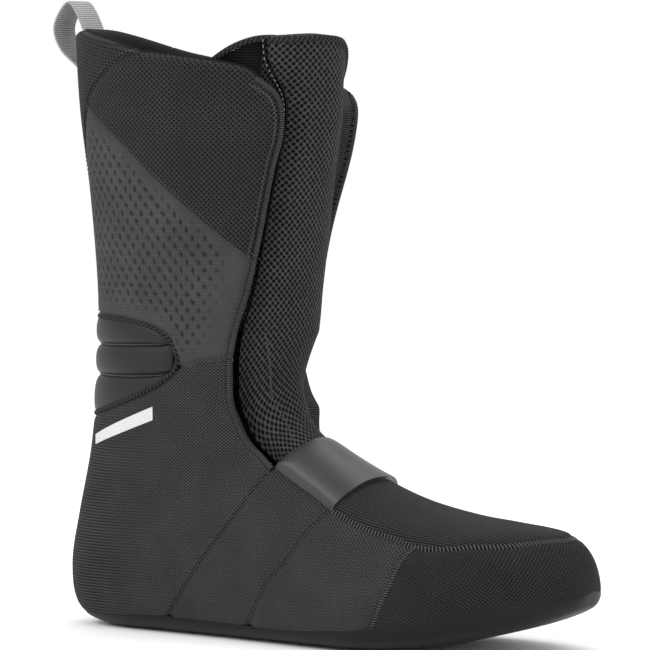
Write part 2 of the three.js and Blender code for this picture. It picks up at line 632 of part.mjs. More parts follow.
function addHeelQuarter(side) {
  const heelLow = joined(between(SOLE_EDGE, 8.85, 11), line([11, 0.96], [11.05, 1]));
  const region = {
    low: heelLow,
    high: ANKLE_LINE,
    left: joined(reversed(ARCH_SEAM), between(THROAT, 8.3, 14.9)),
    right: line([11.05, 1], [14.7, 1]),
  };
  const rows = 10;
  const cornerRow = Math.ceil((rows * ARCH_SEAM.total) / region.left.total);
  const inset = { high: HINGE_GAP / 2, left: (t) => (t * rows > cornerRow - 0.5 ? TAPED : SEAM_GAP / 2) };
  const grid = makeGrid(turned(side, region), { inset, columns: 7, rows });
  add(`heel_quarter_${side.label}`, slab(grid, 0, SKIN), quarterMesh());
  add(`heel_foam_${side.label}`, slab(grid, FOOT_FOAM_TOP, FOOT_INSIDE), foam());
  const throat = part(region.left, cornerRow / rows, 1);
  addTape(`throat_binding_${side.label}`, side, throat, FOOT_INSIDE, rows - cornerRow);
}

function addRibs() {
  const across = (curve) => joined(curve, reversed(wrapped(curve)));
  const lower = byLength([[14.83, 0.49], [14.7, 0.56], [14.65, 0.685], [14.7, 0.85], [14.7, 1]]);
  const valleyLow = part(RIB_VALLEYS[0], 0.06, 1);
  const valleyMiddle = line([15.02, RIB_TIP], RIB_VALLEYS[0](0.06));
  const top = RIB_OUTLINE_TOP;
  const shapes = [
    ['rib_lower', lower, valleyLow],
    ['rib_middle', joined(valleyMiddle, valleyLow),
      joined(line([15.6, RIB_TIP], [15.7, 0.47]), RIB_VALLEYS[1])],
    ['rib_upper', part(RIB_VALLEYS[1], 0.03, 1), top],
  ];
  for (const [name, under, over] of shapes) {
    const region = {
      low: across(under),
      high: across(over),
      left: line(under(0), over(0)),
      right: line(wrapped(under)(0), wrapped(over)(0)),
    };
    const gap = HINGE_GAP / 2;
    const inset = { low: gap, high: gap, left: gap, right: gap };
    add(name, slab(makeGrid(region, { inset, columns: 14, rows: 1 }), 0, RIB_DEPTH), leatherette());
  }
}

// The medial mirror of a curve that meets it at the back centre line, with w past 1.
const wrapped = (curve) => byLength(sampled(curve).map(([u, w]) => [u, 2 - w]));

function addShaftSide(side) {
  const gap = HINGE_GAP / 2;
  const panel = {
    low: joined(between(CUFF_LINE, 14.9 + FLEX_RELIEF, 16.44), line(CUFF_TURN, [16.49, 0.86])),
    high: DIAGONAL,
    left: CUFF_FRONT,
    right: SPINE_EDGE,
  };
  const panelGrid = makeGrid(turned(side, panel), { inset: { low: gap, left: TAPED }, size: 15 });
  add(`side_panel_${side.label}`, slab(panelGrid, 0, SKIN), dimpledJersey());

  const lowEdge = between(DIAGONAL, 17.62, 19.05);
  const foldRun = part(FOLD, 0.2, 0.96);
  const upper = {
    low: lowEdge,
    high: line(foldRun(1), TAB_SEAM(UPPER_SIDE_END)),
    left: joined(line(lowEdge(0), foldRun(0)), foldRun),
    right: part(TAB_SEAM, 0, UPPER_SIDE_END),
  };
  const upperInset = { left: gap, right: SEAM_GAP };
  const upperGrid = makeGrid(turned(side, upper), { inset: upperInset, columns: 4, rows: 8 });
  add(`upper_side_${side.label}`, slab(upperGrid, 0, SKIN), coarseMesh());
  addShaftPadding(side);
}

function addShaftPadding(side) {
  const gap = HINGE_GAP / 2;
  const low = joined(between(CUFF_LINE, 14.9 + FLEX_RELIEF, 16.44), line(CUFF_TURN, PAD_CORNER));
  const high = byLength(sampled(TAB_TOP).filter(([, w]) => w <= PAD_TOP_W));
  const region = { low, high, left: joined(CUFF_FRONT, FOLD), right: line(low(1), high(1)) };
  const bound = CUFF_FRONT.total / region.left.total;
  const inset = { low: gap, left: (t) => (t < bound + 0.04 ? TAPED + SEAM_GAP : gap) };
  const grid = makeGrid(turned(side, region), { inset, columns: 6, rows: 9 });
  add(`side_foam_${side.label}`, slab(grid, SHAFT_FOAM_TOP, SHAFT_FOAM_END), foam());
  add(`side_lining_${side.label}`, slab(grid, SHAFT_LINING_TOP, SHAFT_INSIDE), liningFabric());
  addTape(`shaft_binding_${side.label}`, side, part(CUFF_FRONT, 0.03, 0.98), SHAFT_INSIDE, 4);
}

function addSpine() {
  const edge = joined(SPINE_EDGE, TAB_SEAM);
  const start = edge(0);
  const skin = {
    low: line(start, [start[0], 2 - start[1]]),
    high: joined(TAB_TOP, reversed(wrapped(TAB_TOP))),
    left: edge,
    right: wrapped(edge),
  };
  const gap = HINGE_GAP / 2;
  const skinGrid = makeGrid(skin, { inset: { low: gap }, columns: 16, rows: 12 });
  add('spine_panel', slab(skinGrid, 0, SKIN), stretchKnit());
  const padHigh = byLength(sampled(TAB_TOP).filter(([, w]) => w <= PAD_TOP_W))(1);
  const pad = {
    low: line(PAD_CORNER, [PAD_CORNER[0], 2 - PAD_CORNER[1]]),
    high: joined(part(TAB_TOP, tabShare(padHigh), 1), reversed(wrapped(part(TAB_TOP, tabShare(padHigh), 1)))),
    left: line(PAD_CORNER, padHigh),
    right: line([PAD_CORNER[0], 2 - PAD_CORNER[1]], [padHigh[0], 2 - padHigh[1]]),
  };
  const grid = makeGrid(pad, { inset: { low: gap }, columns: 6, rows: 8 });
  add('spine_foam', slab(grid, SHAFT_FOAM_TOP, SHAFT_FOAM_END), foam());
  add('spine_lining', slab(grid, SHAFT_LINING_TOP, SHAFT_INSIDE), liningFabric());
}

// Where along the rear tab's top edge a place lies.
function tabShare(place) {
  const fine = sampled(TAB_TOP, 200);
  const distances = fine.map(([u, w]) => Math.hypot(u - place[0], w - place[1]));
  return distances.indexOf(Math.min(...distances)) / 200;
}

const FLAP_ROWS = 8; // facets along the flap's front edge, the same in all its layers

function addFlap(side) {
  const gap = HINGE_GAP / 2;
  const region = {
    low: line(FLAP_FRONT(0), FOLD(0)),
    high: FLAP_TOP,
    left: FLAP_FRONT,
    right: FOLD,
  };
  const inset = { left: TAPED + SEAM_GAP, right: gap, low: gap };
  const grid = makeGrid(turned(side, region), { inset, columns: 5, rows: FLAP_ROWS });
  add(`flap_face_${side.label}`, slab(grid, 0, SKIN), coarseMesh());
  add(`flap_foam_${side.label}`, slab(grid, SHAFT_FOAM_TOP, SHAFT_FOAM_END), foam());
  add(`flap_lining_${side.label}`, slab(grid, SHAFT_LINING_TOP, SHAFT_INSIDE), liningFabric());
  addTape(`flap_binding_${side.label}`, side, FLAP_FRONT, SHAFT_INSIDE, FLAP_ROWS);
}

// Binding folded over an edge: proud of the panel outside, and as deep as the padding.
function addTape(name, side, curve, depth, rows) {
  const strip = edgeStrip(side.turn(curve), -side.sign, TAPE_WIDTH, rows);
  add(name, slab(strip, -TAPE_PROUD, depth), bindingTape());
}

// Depth of the tongue's face: sunk at its edges and where it lies between the throat's edges.
const edgeSink = (s) => TONGUE_SINK * (2 * s - 1) ** 2;

function addTongue() {
  const top = seam([TONGUE_EDGE_HIGH(1), [TONGUE_TOP_U + 0.02, 0.12], [TONGUE_TOP_U, 0],
    [TONGUE_TOP_U + 0.02, -0.12], mirrored(TONGUE_EDGE_HIGH)(1)]);
  const gap = HINGE_GAP / 2;
  const region = {
    low: line(TONGUE_EDGE_HIGH(0), mirrored(TONGUE_EDGE_HIGH)(0)),
    high: top,
    left: TONGUE_EDGE_HIGH,
    right: mirrored(TONGUE_EDGE_HIGH),
  };
  const grid = makeGrid(region, { inset: { low: gap, high: TAPED }, columns: 6, rows: 9 });
  const face = (s) => edgeSink(s);
  addTongueLayers('tongue', grid, face, true);
  const strip = edgeStrip(top, 1, TAPE_WIDTH, 8);
  const share = (_, t) => edgeSink(t);
  const outside = (s, t) => share(s, t) - TAPE_PROUD;
  const inside = (s, t) => share(s, t) + TONGUE_FACE + TONGUE_FOAM;
  const taped = slab(strip, outside, inside);
  add('tongue_binding', taped, bindingTape());
  addTongueRoot();
}

function addTongueLayers(name, grid, face, lined) {
  const shift = (depth) => (s, t) => face(s, t) + depth;
  const foamTop = TONGUE_FACE + LAYER_GAP;
  const foamEnd = foamTop + TONGUE_FOAM;
  add(`${name}_face`, slab(grid, shift(0), shift(TONGUE_FACE)), spacerMesh());
  add(`${name}_foam`, slab(grid, shift(foamTop), shift(foamEnd)), foam());
  if (!lined) return;
  const liningTop = foamEnd + LAYER_GAP;
  add(`${name}_lining`, slab(grid, shift(liningTop), shift(liningTop + LINING)), liningFabric());
}

function addTongueRoot() {
  const gap = HINGE_GAP / 2;
  const rootPlaces = [0.15, 0.075, 0, -0.075, -0.15].map((w) => [TONGUE_ROOT_U + 13 * w * w, w]);
  const region = {
    low: seam(rootPlaces),
    high: line(TONGUE_EDGE_LOW(1), mirrored(TONGUE_EDGE_LOW)(1)),
    left: TONGUE_EDGE_LOW,
    right: mirrored(TONGUE_EDGE_LOW),
  };
  const grid = makeGrid(region, { inset: { low: gap, high: gap }, columns: 6, rows: 9 });
  const throatSink = (t) => THROAT_SINK * Math.sin(Math.PI * Math.min(t * 1.1, 1));
  addTongueLayers('tongue_root', grid, (s, t) => edgeSink(s) + throatSink(t), false);
}

function addGusset(side) {
  const front = seam([[16.4, 0.235], [17.3, 0.215], [18.4, 0.19], [19.1, 0.185], [19.5, 0.215],
    [19.78, 0.245]]);
  const region = {
    low: line([16.4, 0.235], [16.4, 0.33]),
    high: seam([[19.78, 0.245], [19.75, 0.3], [19.6, 0.38]]),
    left: front,
    right: line([16.4, 0.33], [19.6, 0.38]),
  };
  const depth = SHAFT_INSIDE + LAYER_GAP + 0.2;
  const grid = makeGrid(turned(side, region), { columns: 2, rows: 6 });
  add(`tongue_gusset_${side.label}`, slab(grid, depth, depth + GUSSET), stretchKnit());
}

// A plain light bar low on the heel, slanting up towards the ankle.
function addHeelMark() {
  const region = {
    low: line([14.02, 0.79], [13.9, 0.52]),
    high: line([14.22, 0.8], [14.25, 0.525]),
    left: line([14.02, 0.79], [14.22, 0.8]),
    right: line([13.9, 0.52], [14.25, 0.525]),
  };
  const lift = 0.35;
  const grid = makeGrid(region, { columns: 6, rows: 2 });
  add('heel_mark', slab(grid, -lift - MARK_THICK, -lift), lightPrint());
}

// ---- Pull loop -----------------------------------------------------------------------------

const TAIL_TOP_U = 19.45;
const backSkin = (u) => skinPoint(u, 1);
const tailHalfW = () => LOOP_WIDTH / 2 / cachedHalf(TAIL_TOP_U, 1).lengths[ARC_STEPS];

function addLoopTail() {
  const half = tailHalfW();
  const perU = backSkin(TAIL_TOP_U).distanceTo(backSkin(TAIL_TOP_U - 0.5)) / 0.5;
  const lowU = TAIL_TOP_U - LOOP_TAIL / perU;
  const region = {
    low: line([lowU, 1 - half], [lowU, 1 + half]),
    high: line([TAIL_TOP_U, 1 - half], [TAIL_TOP_U, 1 + half]),
    left: line([lowU, 1 - half], [TAIL_TOP_U, 1 - half]),
    right: line([lowU, 1 + half], [TAIL_TOP_U, 1 + half]),
  };
  const grid = makeGrid(region, { columns: 3, rows: 2 });
  add('loop_tail', slab(grid, -LAYER_GAP - LOOP_THICK, -LAYER_GAP), webbing());
}

// The free loop: webbing from the tail's top, out behind the tab, over and back to its top edge.
function addPullLoop() {
  const base = backSkin(TAIL_TOP_U);
  const tab = backSkin(19.97);
  const outX = base.x - LAYER_GAP - LOOP_THICK / 2;
  const route = [
    [outX, base.z + HINGE_GAP],
    [outX - LOOP_REACH * 0.3, base.z + (tab.z - base.z) * 0.3],
    [tab.x - LOOP_REACH * 0.82, base.z + (tab.z - base.z) * 0.75],
    [tab.x - LOOP_REACH, tab.z + LOOP_RISE * 0.35],
    [tab.x - LOOP_REACH * 0.62, tab.z + LOOP_RISE - LOOP_THICK],
    [tab.x - LOOP_REACH * 0.2, tab.z + LOOP_RISE * 0.72],
    [tab.x + LOOP_THICK, tab.z + HINGE_GAP],
  ];
  const centre = new THREE.CatmullRomCurve3(route.map(([x, z]) => new THREE.Vector3(x, z, 0)));
  const steps = 20;
  const outer = [];
  const inner = [];
  for (let k = 0; k <= steps; k += 1) {
    const point = centre.getPointAt(k / steps);
    const tangent = centre.getTangentAt(k / steps);
    const normal = new THREE.Vector2(-tangent.y, tangent.x).multiplyScalar(LOOP_THICK / 2);
    outer.push(new THREE.Vector2(point.x + normal.x, point.y + normal.y));
    inner.push(new THREE.Vector2(point.x - normal.x, point.y - normal.y));
  }
  const shape = new THREE.Shape([...outer, ...inner.reverse()]);
  const geometry = new THREE.ExtrudeGeometry(shape, { depth: LOOP_WIDTH, bevelEnabled: false });
  geometry.rotateX(Math.PI / 2); // the outline's second axis becomes height
  geometry.translate(0, LOOP_WIDTH / 2, 0);
  add('pull_loop', geometry, webbing());
}

addSole();
addToe();
addVamp();
addInstepBand();
addRibs();
addSpine();
addTongue();
addHeelMark();
addLoopTail();
addPullLoop();
for (const side of SIDES) {
  addSidePanels(side);
  addHeelQuarter(side);
  addShaftSide(side);
  addFlap(side);
  addGusset(side);
}

export default group;
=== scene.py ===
"""Looks of a snowboard boot's inner boot (liner), right foot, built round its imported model.

Lengths are metres unless a name ends in _MM. +X points to the toe, +Z up, -Y to the outer
(lateral) side of the foot. Every sheet lies on one outer surface, the last, where a place is a
pair [u, w]: u counts sections from the toe tip (0), round the heel, to the top of the shaft
(20), and w runs from the front centre line (0) to the back or bottom centre line (1 lateral,
-1 medial).
"""
import json
import logging
import math
from collections.abc import Callable, Sequence
from dataclasses import dataclass, field, replace
from enum import Enum
from functools import cache

import bpy
import numpy as np
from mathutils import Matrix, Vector


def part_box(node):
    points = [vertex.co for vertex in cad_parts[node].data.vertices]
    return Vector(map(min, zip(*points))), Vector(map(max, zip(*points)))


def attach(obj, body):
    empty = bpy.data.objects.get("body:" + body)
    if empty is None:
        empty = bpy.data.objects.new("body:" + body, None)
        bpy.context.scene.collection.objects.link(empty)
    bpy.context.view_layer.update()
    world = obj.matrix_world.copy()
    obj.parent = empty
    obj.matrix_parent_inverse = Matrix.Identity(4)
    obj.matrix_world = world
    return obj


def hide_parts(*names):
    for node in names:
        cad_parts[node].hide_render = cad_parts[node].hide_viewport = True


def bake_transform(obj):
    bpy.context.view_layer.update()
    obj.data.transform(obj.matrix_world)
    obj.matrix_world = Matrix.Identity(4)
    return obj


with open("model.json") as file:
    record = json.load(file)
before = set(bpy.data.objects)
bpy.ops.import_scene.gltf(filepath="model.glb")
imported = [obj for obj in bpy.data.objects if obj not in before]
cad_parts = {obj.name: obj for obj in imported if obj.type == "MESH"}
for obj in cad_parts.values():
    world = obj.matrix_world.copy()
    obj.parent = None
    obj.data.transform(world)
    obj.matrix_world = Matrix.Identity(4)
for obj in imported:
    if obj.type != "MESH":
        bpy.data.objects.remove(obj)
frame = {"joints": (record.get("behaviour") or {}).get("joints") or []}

LOG = logging.getLogger("liner")
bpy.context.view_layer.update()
MM = 0.001

# ---- Driving sizes -------------------------------------------------------------------------

SKIN = 1.6 * MM  # outer fabric panels
FOOT_TOTAL = 7.0 * MM  # laminate round the foot, outside to inside
SHAFT_TOTAL = 10.4 * MM  # laminate round the shin
LINING = 1.0 * MM
FOAM_TOP = 2.0 * MM  # depth of the padding's outer face
TONGUE_TOTAL = 9.9 * MM
TONGUE_SINK = 3.4 * MM  # how deep the tongue's edges lie under its middle
THROAT_SINK = 3.0 * MM  # how deep the tongue lies in the throat
SEAM_SINK = 1.3 * MM  # a seam's groove
SEAM_REACH = 2.2 * MM  # how far the fabric dips beside a seam
TAPE_WIDTH = 2.9 * MM
CELL = 2.0 * MM  # a fabric panel's mesh size
FINE_CELL = 1.15 * MM  # mesh size where small dimples are modelled
ORIGIN_FROM_HEEL_MM = 130.0
SOLE_LENGTH = 0.285  # for the sole's mesh size
SOLE_GIRTH = 0.11
MEDIAL_DROP = 0.24  # sections by which the shaft's inner side is lower at its top

SECTIONS = (
    # back x, back z, front x, front z, lateral, medial, widest at, front power, back power, bow
    (282.5, 25, 273, 54.5, 8, 8, 0.6, 3, 3.2, 5.5),
    (280, 21.5, 267, 56, -10, 24, 0.6, 2.8, 3.4, 3.5),
    (266, 15.5, 257, 57.6, -28, 35, 0.6, 2.6, 3.6, 1),
    (246, 9.5, 240, 59.6, -41, 43, 0.62, 2.4, 3.8, 0),
    (220, 3.5, 219, 62.6, -49, 47, 0.66, 2.2, 4.2, 0),
    (190, 0.5, 194, 69, -51, 46, 0.7, 2, 4.5, 0),
    (160, 0, 171, 78.6, -48, 42, 0.72, 1.9, 4.5, 0),
    (130, 0, 151, 89, -43.5, 38, 0.72, 1.9, 4.5, 0),
    (98, 0, 139, 98.5, -39.5, 35.5, 0.7, 2, 4.5, 0),
    (62, 0, 134, 106, -37, 34.5, 0.66, 2.1, 4.2, 0),
    (28, 0.3, 132.3, 112, -36, 34.5, 0.62, 2.1, 3.6, 0),
    (7, 7, 131.5, 117, -36, 35, 0.6, 2.1, 3, 0),
    (1, 27, 131, 121, -36.5, 35.5, 0.58, 2.1, 2.6, 0),
    (5, 54, 131, 126, -37.5, 36.5, 0.56, 2.1, 2.4, 0),
    (11.5, 84, 131.5, 133, -39, 38, 0.54, 2.1, 2.3, 0),
    (14.5, 112, 132.5, 143, -41, 40, 0.52, 2.1, 2.2, 0),
    (16.5, 140, 133.5, 155, -43.5, 42.5, 0.5, 2.1, 2.2, 0),
    (17.5, 170, 135, 173, -46.5, 45.5, 0.5, 2.1, 2.2, 0),
    (15, 210, 140, 210, -51, 50, 0.5, 2.1, 2.2, 0),
    (9.5, 254, 148, 254, -55, 54, 0.5, 2.15, 2.2, 0),
    (7, 292, 152, 292, -57, 56, 0.5, 2.15, 2.2, 0),
)


def unit(vectors: np.ndarray) -> np.ndarray:
    """Vectors of length one."""
    return vectors / np.maximum(np.linalg.norm(vectors, axis=-1, keepdims=True), 1e-12)


def smoothstep(x: np.ndarray, low: float, high: float) -> np.ndarray:
    """0 up to low, 1 from high, smooth in between."""
    t = np.clip((x - low) / (high - low), 0, 1)
    return t * t * (3 - 2 * t)


class Last:
    """The boot's outer surface as a fine table of points and normals."""

    TOP = len(SECTIONS) - 1
    PER_SECTION = 32
    PER_HALF = 96
    TIP_ZONE = 0.8

    def __init__(self) -> None:
        """Blends the sections into the table."""
        rows = np.array(SECTIONS, float)
        rows[:, [0, 2]] -= ORIGIN_FROM_HEEL_MM
        past_tip = rows[1].copy()
        past_tip[[4, 5]] = past_tip[[5, 4]]
        self.rows = np.vstack([past_tip, rows, 2 * rows[-1] - rows[-2]])
        self.u = np.linspace(0, self.TOP, self.TOP * self.PER_SECTION + 1)
        halves = [self._half(self.blended(self.u), side) for side in (-1, 1)]
        self.points = np.concatenate([halves[0][:, ::-1], halves[1][:, 1:]], axis=1) * MM
        self.normals = self._normals()

    def blended(self, u: np.ndarray) -> np.ndarray:
        """Section numbers at u, by a Catmull-Rom blend.

        Args:
            u: places along the boot.

        Returns:
            One row of ten numbers for each place, in millimetres.
        """
        i = np.minimum(np.floor(u), self.TOP - 1).astype(int)
        p0, p1, p2, p3 = (self.rows[i + k] for k in range(4))
        f = (u - i)[:, None]
        turn = 2 * p0 - 5 * p1 + 4 * p2 - p3
        return 0.5 * (2 * p1 + (p2 - p0) * f + turn * f**2 + (3 * p1 - p0 - 3 * p2 + p3) * f**3)

    def _half(self, rows: np.ndarray, side: int) -> np.ndarray:
        """Half of each section, evenly spaced by length from front to back.

        Args:
            rows: a row of section numbers for each place along the boot.
            side: above 0 for the lateral half, otherwise the medial half.

        Returns:
            The points, in millimetres: one row for each section.
        """
        bx, bz, fx, fz, lat, med, mid, e_front, e_back, bow = (c[:, None] for c in rows.T)
        angle = np.linspace(0, math.pi, 2 * self.PER_HALF + 1)[None]
        power = 2 / np.where(angle < math.pi / 2, e_front, e_back)
        cosine, sine = np.cos(angle), np.abs(np.sin(angle))
        along = np.sign(cosine) * np.abs(cosine) ** power
        t = np.where(along > 0, mid - mid * along, mid - (1 - mid) * along)
        bulge = 4 * bow * t * (1 - t) / np.hypot(bx - fx, bz - fz)
        centre = (lat + med) / 2
        reach = (lat if side > 0 else med) - centre
        xyz = np.stack([fx + (bx - fx) * t + bulge * (fz - bz), centre + reach * sine**power,
                        fz + (bz - fz) * t + bulge * (bx - fx)], axis=-1)
        steps = np.linalg.norm(np.diff(xyz, axis=1), axis=-1)
        run = np.concatenate([np.zeros((len(rows), 1)), np.cumsum(steps, axis=1)], axis=1)
        share = np.linspace(0, 1, self.PER_HALF + 1)
        return np.array([[np.interp(share * r[-1], r, p[:, k]) for k in range(3)]
                         for r, p in zip(run, xyz)]).transpose(0, 2, 1)

    def _normals(self) -> np.ndarray:
        """Outward normals of the table; at the tip they fan out from the toe's core.

        Returns:
            A unit vector for each point of the table.
        """
        along = np.gradient(self.points, axis=0)
        around = np.gradient(self.points, axis=1)
        seam = self.points[:, 1] - self.points[:, -2]
        around[:, 0] = around[:, -1] = seam
        normal = unit(np.cross(along, around))
        row = self.blended(np.maximum(self.u, 2))
        core = np.stack([row[:, 2] + (row[:, 0] - row[:, 2]) * row[:, 6], (row[:, 4] + row[:, 5]) / 2,
                         row[:, 3] + (row[:, 1] - row[:, 3]) * row[:, 6]], axis=-1) * MM
        outward = unit(self.points - core[:, None])
        normal *= np.sign(np.sum(normal * outward, axis=-1, keepdims=True))
        trust = smoothstep(self.u, 0, self.TIP_ZONE)[:, None, None]
        return unit(outward + (normal - outward) * trust)

    def at(self, places: np.ndarray) -> tuple[np.ndarray, np.ndarray]:
        """Points and outward normals at places.

        Args:
            places: [u, w] pairs in the last axis; u below 0 is the far side of the tip.

        Returns:
            The points and the normals, in the same arrangement.
        """
        u, w = places[..., 0], places[..., 1]
        w = np.where(u < 0, -w, w)
        w = np.where(w > 1, w - 2, np.where(w < -1, w + 2, w))
        drop = smoothstep(u, 18.2, 19.8) * smoothstep(-w, 0, 0.14) * smoothstep(1 + w, 0, 0.3)
        level = np.abs(u) - MEDIAL_DROP * drop
        above = np.maximum(level - self.TOP, 0)[..., None] * (self.points[-1, 0] - self.points[-33, 0])
        a = np.clip(level, 0, self.TOP) * self.PER_SECTION
        b = (w + 1) * self.PER_HALF
        i = np.clip(a.astype(int), 0, len(self.u) - 2)
        j = np.clip(b.astype(int), 0, 2 * self.PER_HALF - 1)
        f, g = (a - i)[..., None], (b - j)[..., None]

        def pick(table: np.ndarray) -> np.ndarray:
            """The table's value between its four nearest entries.

            Args:
                table: the points or the normals.

            Returns:
                The blended value at each place.
            """
            near = table[i, j] * (1 - g) + table[i, j + 1] * g
            far = table[i + 1, j] * (1 - g) + table[i + 1, j + 1] * g
            return near * (1 - f) + far * f

        return pick(self.points) + above, unit(pick(self.normals))


LAST = Last()

# ---- Seams and edges -----------------------------------------------------------------------


class Seam:
    """A line of [u, w] places that is run from 0 to 1 by its length on the boot."""

    def __init__(self, places: Sequence | np.ndarray) -> None:
        """Measures the line.

        Args:
            places: the [u, w] places that it passes in a straight chart line.
        """
        self.places = np.asarray(places, float)
        points, _ = LAST.at(self.places)
        steps = np.linalg.norm(np.diff(points, axis=0), axis=-1)
        self.run = np.concatenate([[0], np.cumsum(steps)])
        self.length = float(self.run[-1])

    def __call__(self, t: np.ndarray | float) -> np.ndarray:
        """The places at shares t of its length."""
        target = np.asarray(t, float) * self.length
        return np.stack([np.interp(target, self.run, self.places[:, k]) for k in (0, 1)], axis=-1)

    def sampled(self, count: int = 48) -> np.ndarray:
        """Evenly spaced places."""
        return self(np.linspace(0, 1, count + 1))

    def back(self) -> "Seam":
        """The same line, run the other way."""
        return Seam(self.sampled()[::-1])

    def part(self, start: float, end: float) -> "Seam":
        """The stretch between two shares of its length."""
        return Seam(self(np.linspace(start, end, 49)))

    def between(self, from_u: float, to_u: float) -> "Seam":
        """The stretch between two values of u.

        Args:
            from_u: where it starts.
            to_u: where it ends; it may be below from_u.

        Returns:
            The stretch, run from one to the other.
        """
        fine = self.sampled(800)[:, 0]
        ends = [int(np.argmin(np.abs(fine - u))) / 800 for u in (from_u, to_u)]
        return self.part(*ends)

    def mirrored(self) -> "Seam":
        """The same line on the other side of the foot."""
        return Seam(self.sampled() * [1, -1])

    def wrapped(self) -> "Seam":
        """The other side's line, with w counted on past the back centre line."""
        return Seam(self.sampled() * [1, -1] + [0, 2])

    def across_tip(self) -> "Seam":
        """The other side's line, with u counted on past the toe tip."""
        return Seam(self.sampled() * [-1, 1])

    def then(self, *others: "Seam") -> "Seam":
        """This line followed by others."""
        return Seam(np.vstack([self.sampled(), *(o.sampled()[1:] for o in others)]))


def curve(*places: tuple[float, float]) -> Seam:
    """A smooth line through places.

    Args:
        places: the [u, w] places, in order.

    Returns:
        The line.
    """
    p = np.array([places[0], *places, places[-1]], float)
    f = np.linspace(0, 1, 13)[:-1, None]
    fine = [0.5 * (2 * b + (c - a) * f + (2 * a - 5 * b + 4 * c - d) * f**2
                   + (3 * b - a - 3 * c + d) * f**3) for a, b, c, d in zip(p, p[1:], p[2:], p[3:])]
    return Seam(np.vstack([*fine, p[-1:]]))


def line(start: Sequence[float], end: Sequence[float]) -> Seam:
    """A straight chart line."""
    f = np.linspace(0, 1, 17)[:, None]
    return Seam(np.asarray(start) * (1 - f) + np.asarray(end) * f)


# All seams are drawn for the lateral side; the medial side mirrors them.
SOLE_EDGE = curve((0, 0.845), (0.7, 0.735), (1.4, 0.64), (2.5, 0.577), (3.7, 0.575), (5.15, 0.62),
                  (6.8, 0.7), (8.45, 0.76), (9.95, 0.825), (10.6, 0.885), (11, 0.96))
VAMP_SEAM = curve((6.2, 0.24), (5.3, 0.26), (4.7, 0.27), (4.2, 0.297), (3.55, 0.3), (3, 0.285),
                  (2.15, 0.27), (1.1, 0.195), (0.5, 0.12), (0, 0))
TOE_SEAM = curve((4.2, 0.297), (4.35, 0.36), (4.45, 0.45), (4.6, 0.525), (4.75, 0.606))
BALL_SEAM = curve((6.2, 0.24), (6.5, 0.345), (6.75, 0.455), (7.1, 0.57), (7.3, 0.719))
ARCH_SEAM = curve((8.3, 0.207), (8.45, 0.285), (8.55, 0.39), (8.75, 0.56), (8.85, 0.776))
BAND_FRONT = curve((6.2, 0.24), (6, 0.155), (5.9, 0.085), (5.8, 0), (5.9, -0.085), (6, -0.155),
                   (6.2, -0.24))
BAND_REAR = curve((8.3, 0.207), (8.15, 0.14), (7.95, 0.075), (7.85, 0), (7.95, -0.075),
                  (8.15, -0.14), (8.3, -0.207))
THROAT = curve((6.2, 0.24), (6.8, 0.217), (7.55, 0.21), (8.3, 0.207), (9.6, 0.195),
               (11.65, 0.2), (13.3, 0.24), (14.2, 0.255), (14.9, 0.262))
ANKLE_LINE = curve((14.9, 0.262), (15.05, 0.36), (15.05, 0.42), (14.85, 0.475), (14.7, 0.54),
                   (14.65, 0.685), (14.7, 0.85), (14.7, 1))
RIB_TOP = curve((15.83, 0.475), (16.07, 0.515), (16.27, 0.59), (16.42, 0.72), (16.5, 1))
RIB_VALLEYS = (curve((14.93, 0.48), (15.12, 0.6), (15.38, 0.8), (15.48, 1)),
               curve((15.7, 0.47), (15.82, 0.6), (15.95, 0.8), (16, 1)))
RIB_TIP = 0.458
CUFF_TURN = (16.42, 0.72)
PAD_CORNER = (16.47, 0.8)
PAD_TOP_W = 0.78
UPPER_SIDE_END = 0.995
CUFF_LINE = curve((14.9, 0.262), (15.05, 0.36), (15.05, 0.42), (15.4, 0.448), (15.83, 0.468),
                  (16.07, 0.508), (16.27, 0.585), CUFF_TURN, (16.5, 1))
CUFF_FRONT = curve((14.9, 0.262), (15.85, 0.25), (16.6, 0.228), (17.3, 0.205))
CUFF_TAPE = curve((14.9, 0.262), (15.85, 0.25), (16.6, 0.228), (17.33, 0.204))
FLAP_FRONT = curve((17.34, 0.204), (17.75, 0.19), (18.4, 0.174), (18.7, 0.163), (18.95, 0.164),
                   (19.15, 0.175), (19.3, 0.197), (19.45, 0.24))
FLAP_TOP = curve((19.45, 0.24), (19.55, 0.275), (19.63, 0.35), (19.7, 0.45), (19.75, 0.545))
FOLD = curve((17.36, 0.224), (18.57, 0.415), (19.75, 0.545))
DIAGONAL = curve((17.3, 0.205), (17.7, 0.33), (18, 0.42), (18.3, 0.51), (18.7, 0.63),
                 (19.05, 0.765))
SPINE_EDGE = curve((16.49, 0.86), (17.4, 0.87), (18.3, 0.845), (19.05, 0.765))
TAB_SEAM = curve((19.05, 0.765), (19.3, 0.715), (19.47, 0.665), (19.62, 0.625), (19.7, 0.585),
                 (19.75, 0.545))
TAB_TOP = curve((19.75, 0.545), (19.86, 0.62), (19.98, 0.72), (20.05, 0.84), (20.05, 1))
TONGUE_EDGE_LOW = curve((8.1, 0.185), (9.6, 0.184), (11.65, 0.188), (13.3, 0.222), (14.9, 0.24),
                        (15.9, 0.227))
TONGUE_EDGE_HIGH = curve((15.9, 0.227), (17.3, 0.182), (18.4, 0.15), (18.9, 0.14), (19.2, 0.152),
                         (19.45, 0.182), (19.65, 0.204), (19.93, 0.212))
TONGUE_ROOT_U = 7.87
BAND_FRONT_U = 6.2  # where the band's front edge meets the side panels
BAND_REAR_U = 8.3  # where its rear edge meets the throat
ANKLE_U = 14.9  # where the throat ends at the shaft
THROAT_BOW = 6.4  # sections over which the throat's edge bows out
TONGUE_SEAM = curve((8.5, 0.1), (10.05, 0.085), (13.7, 0.125), (15.55, 0.165))

# ---- Finishes ------------------------------------------------------------------------------


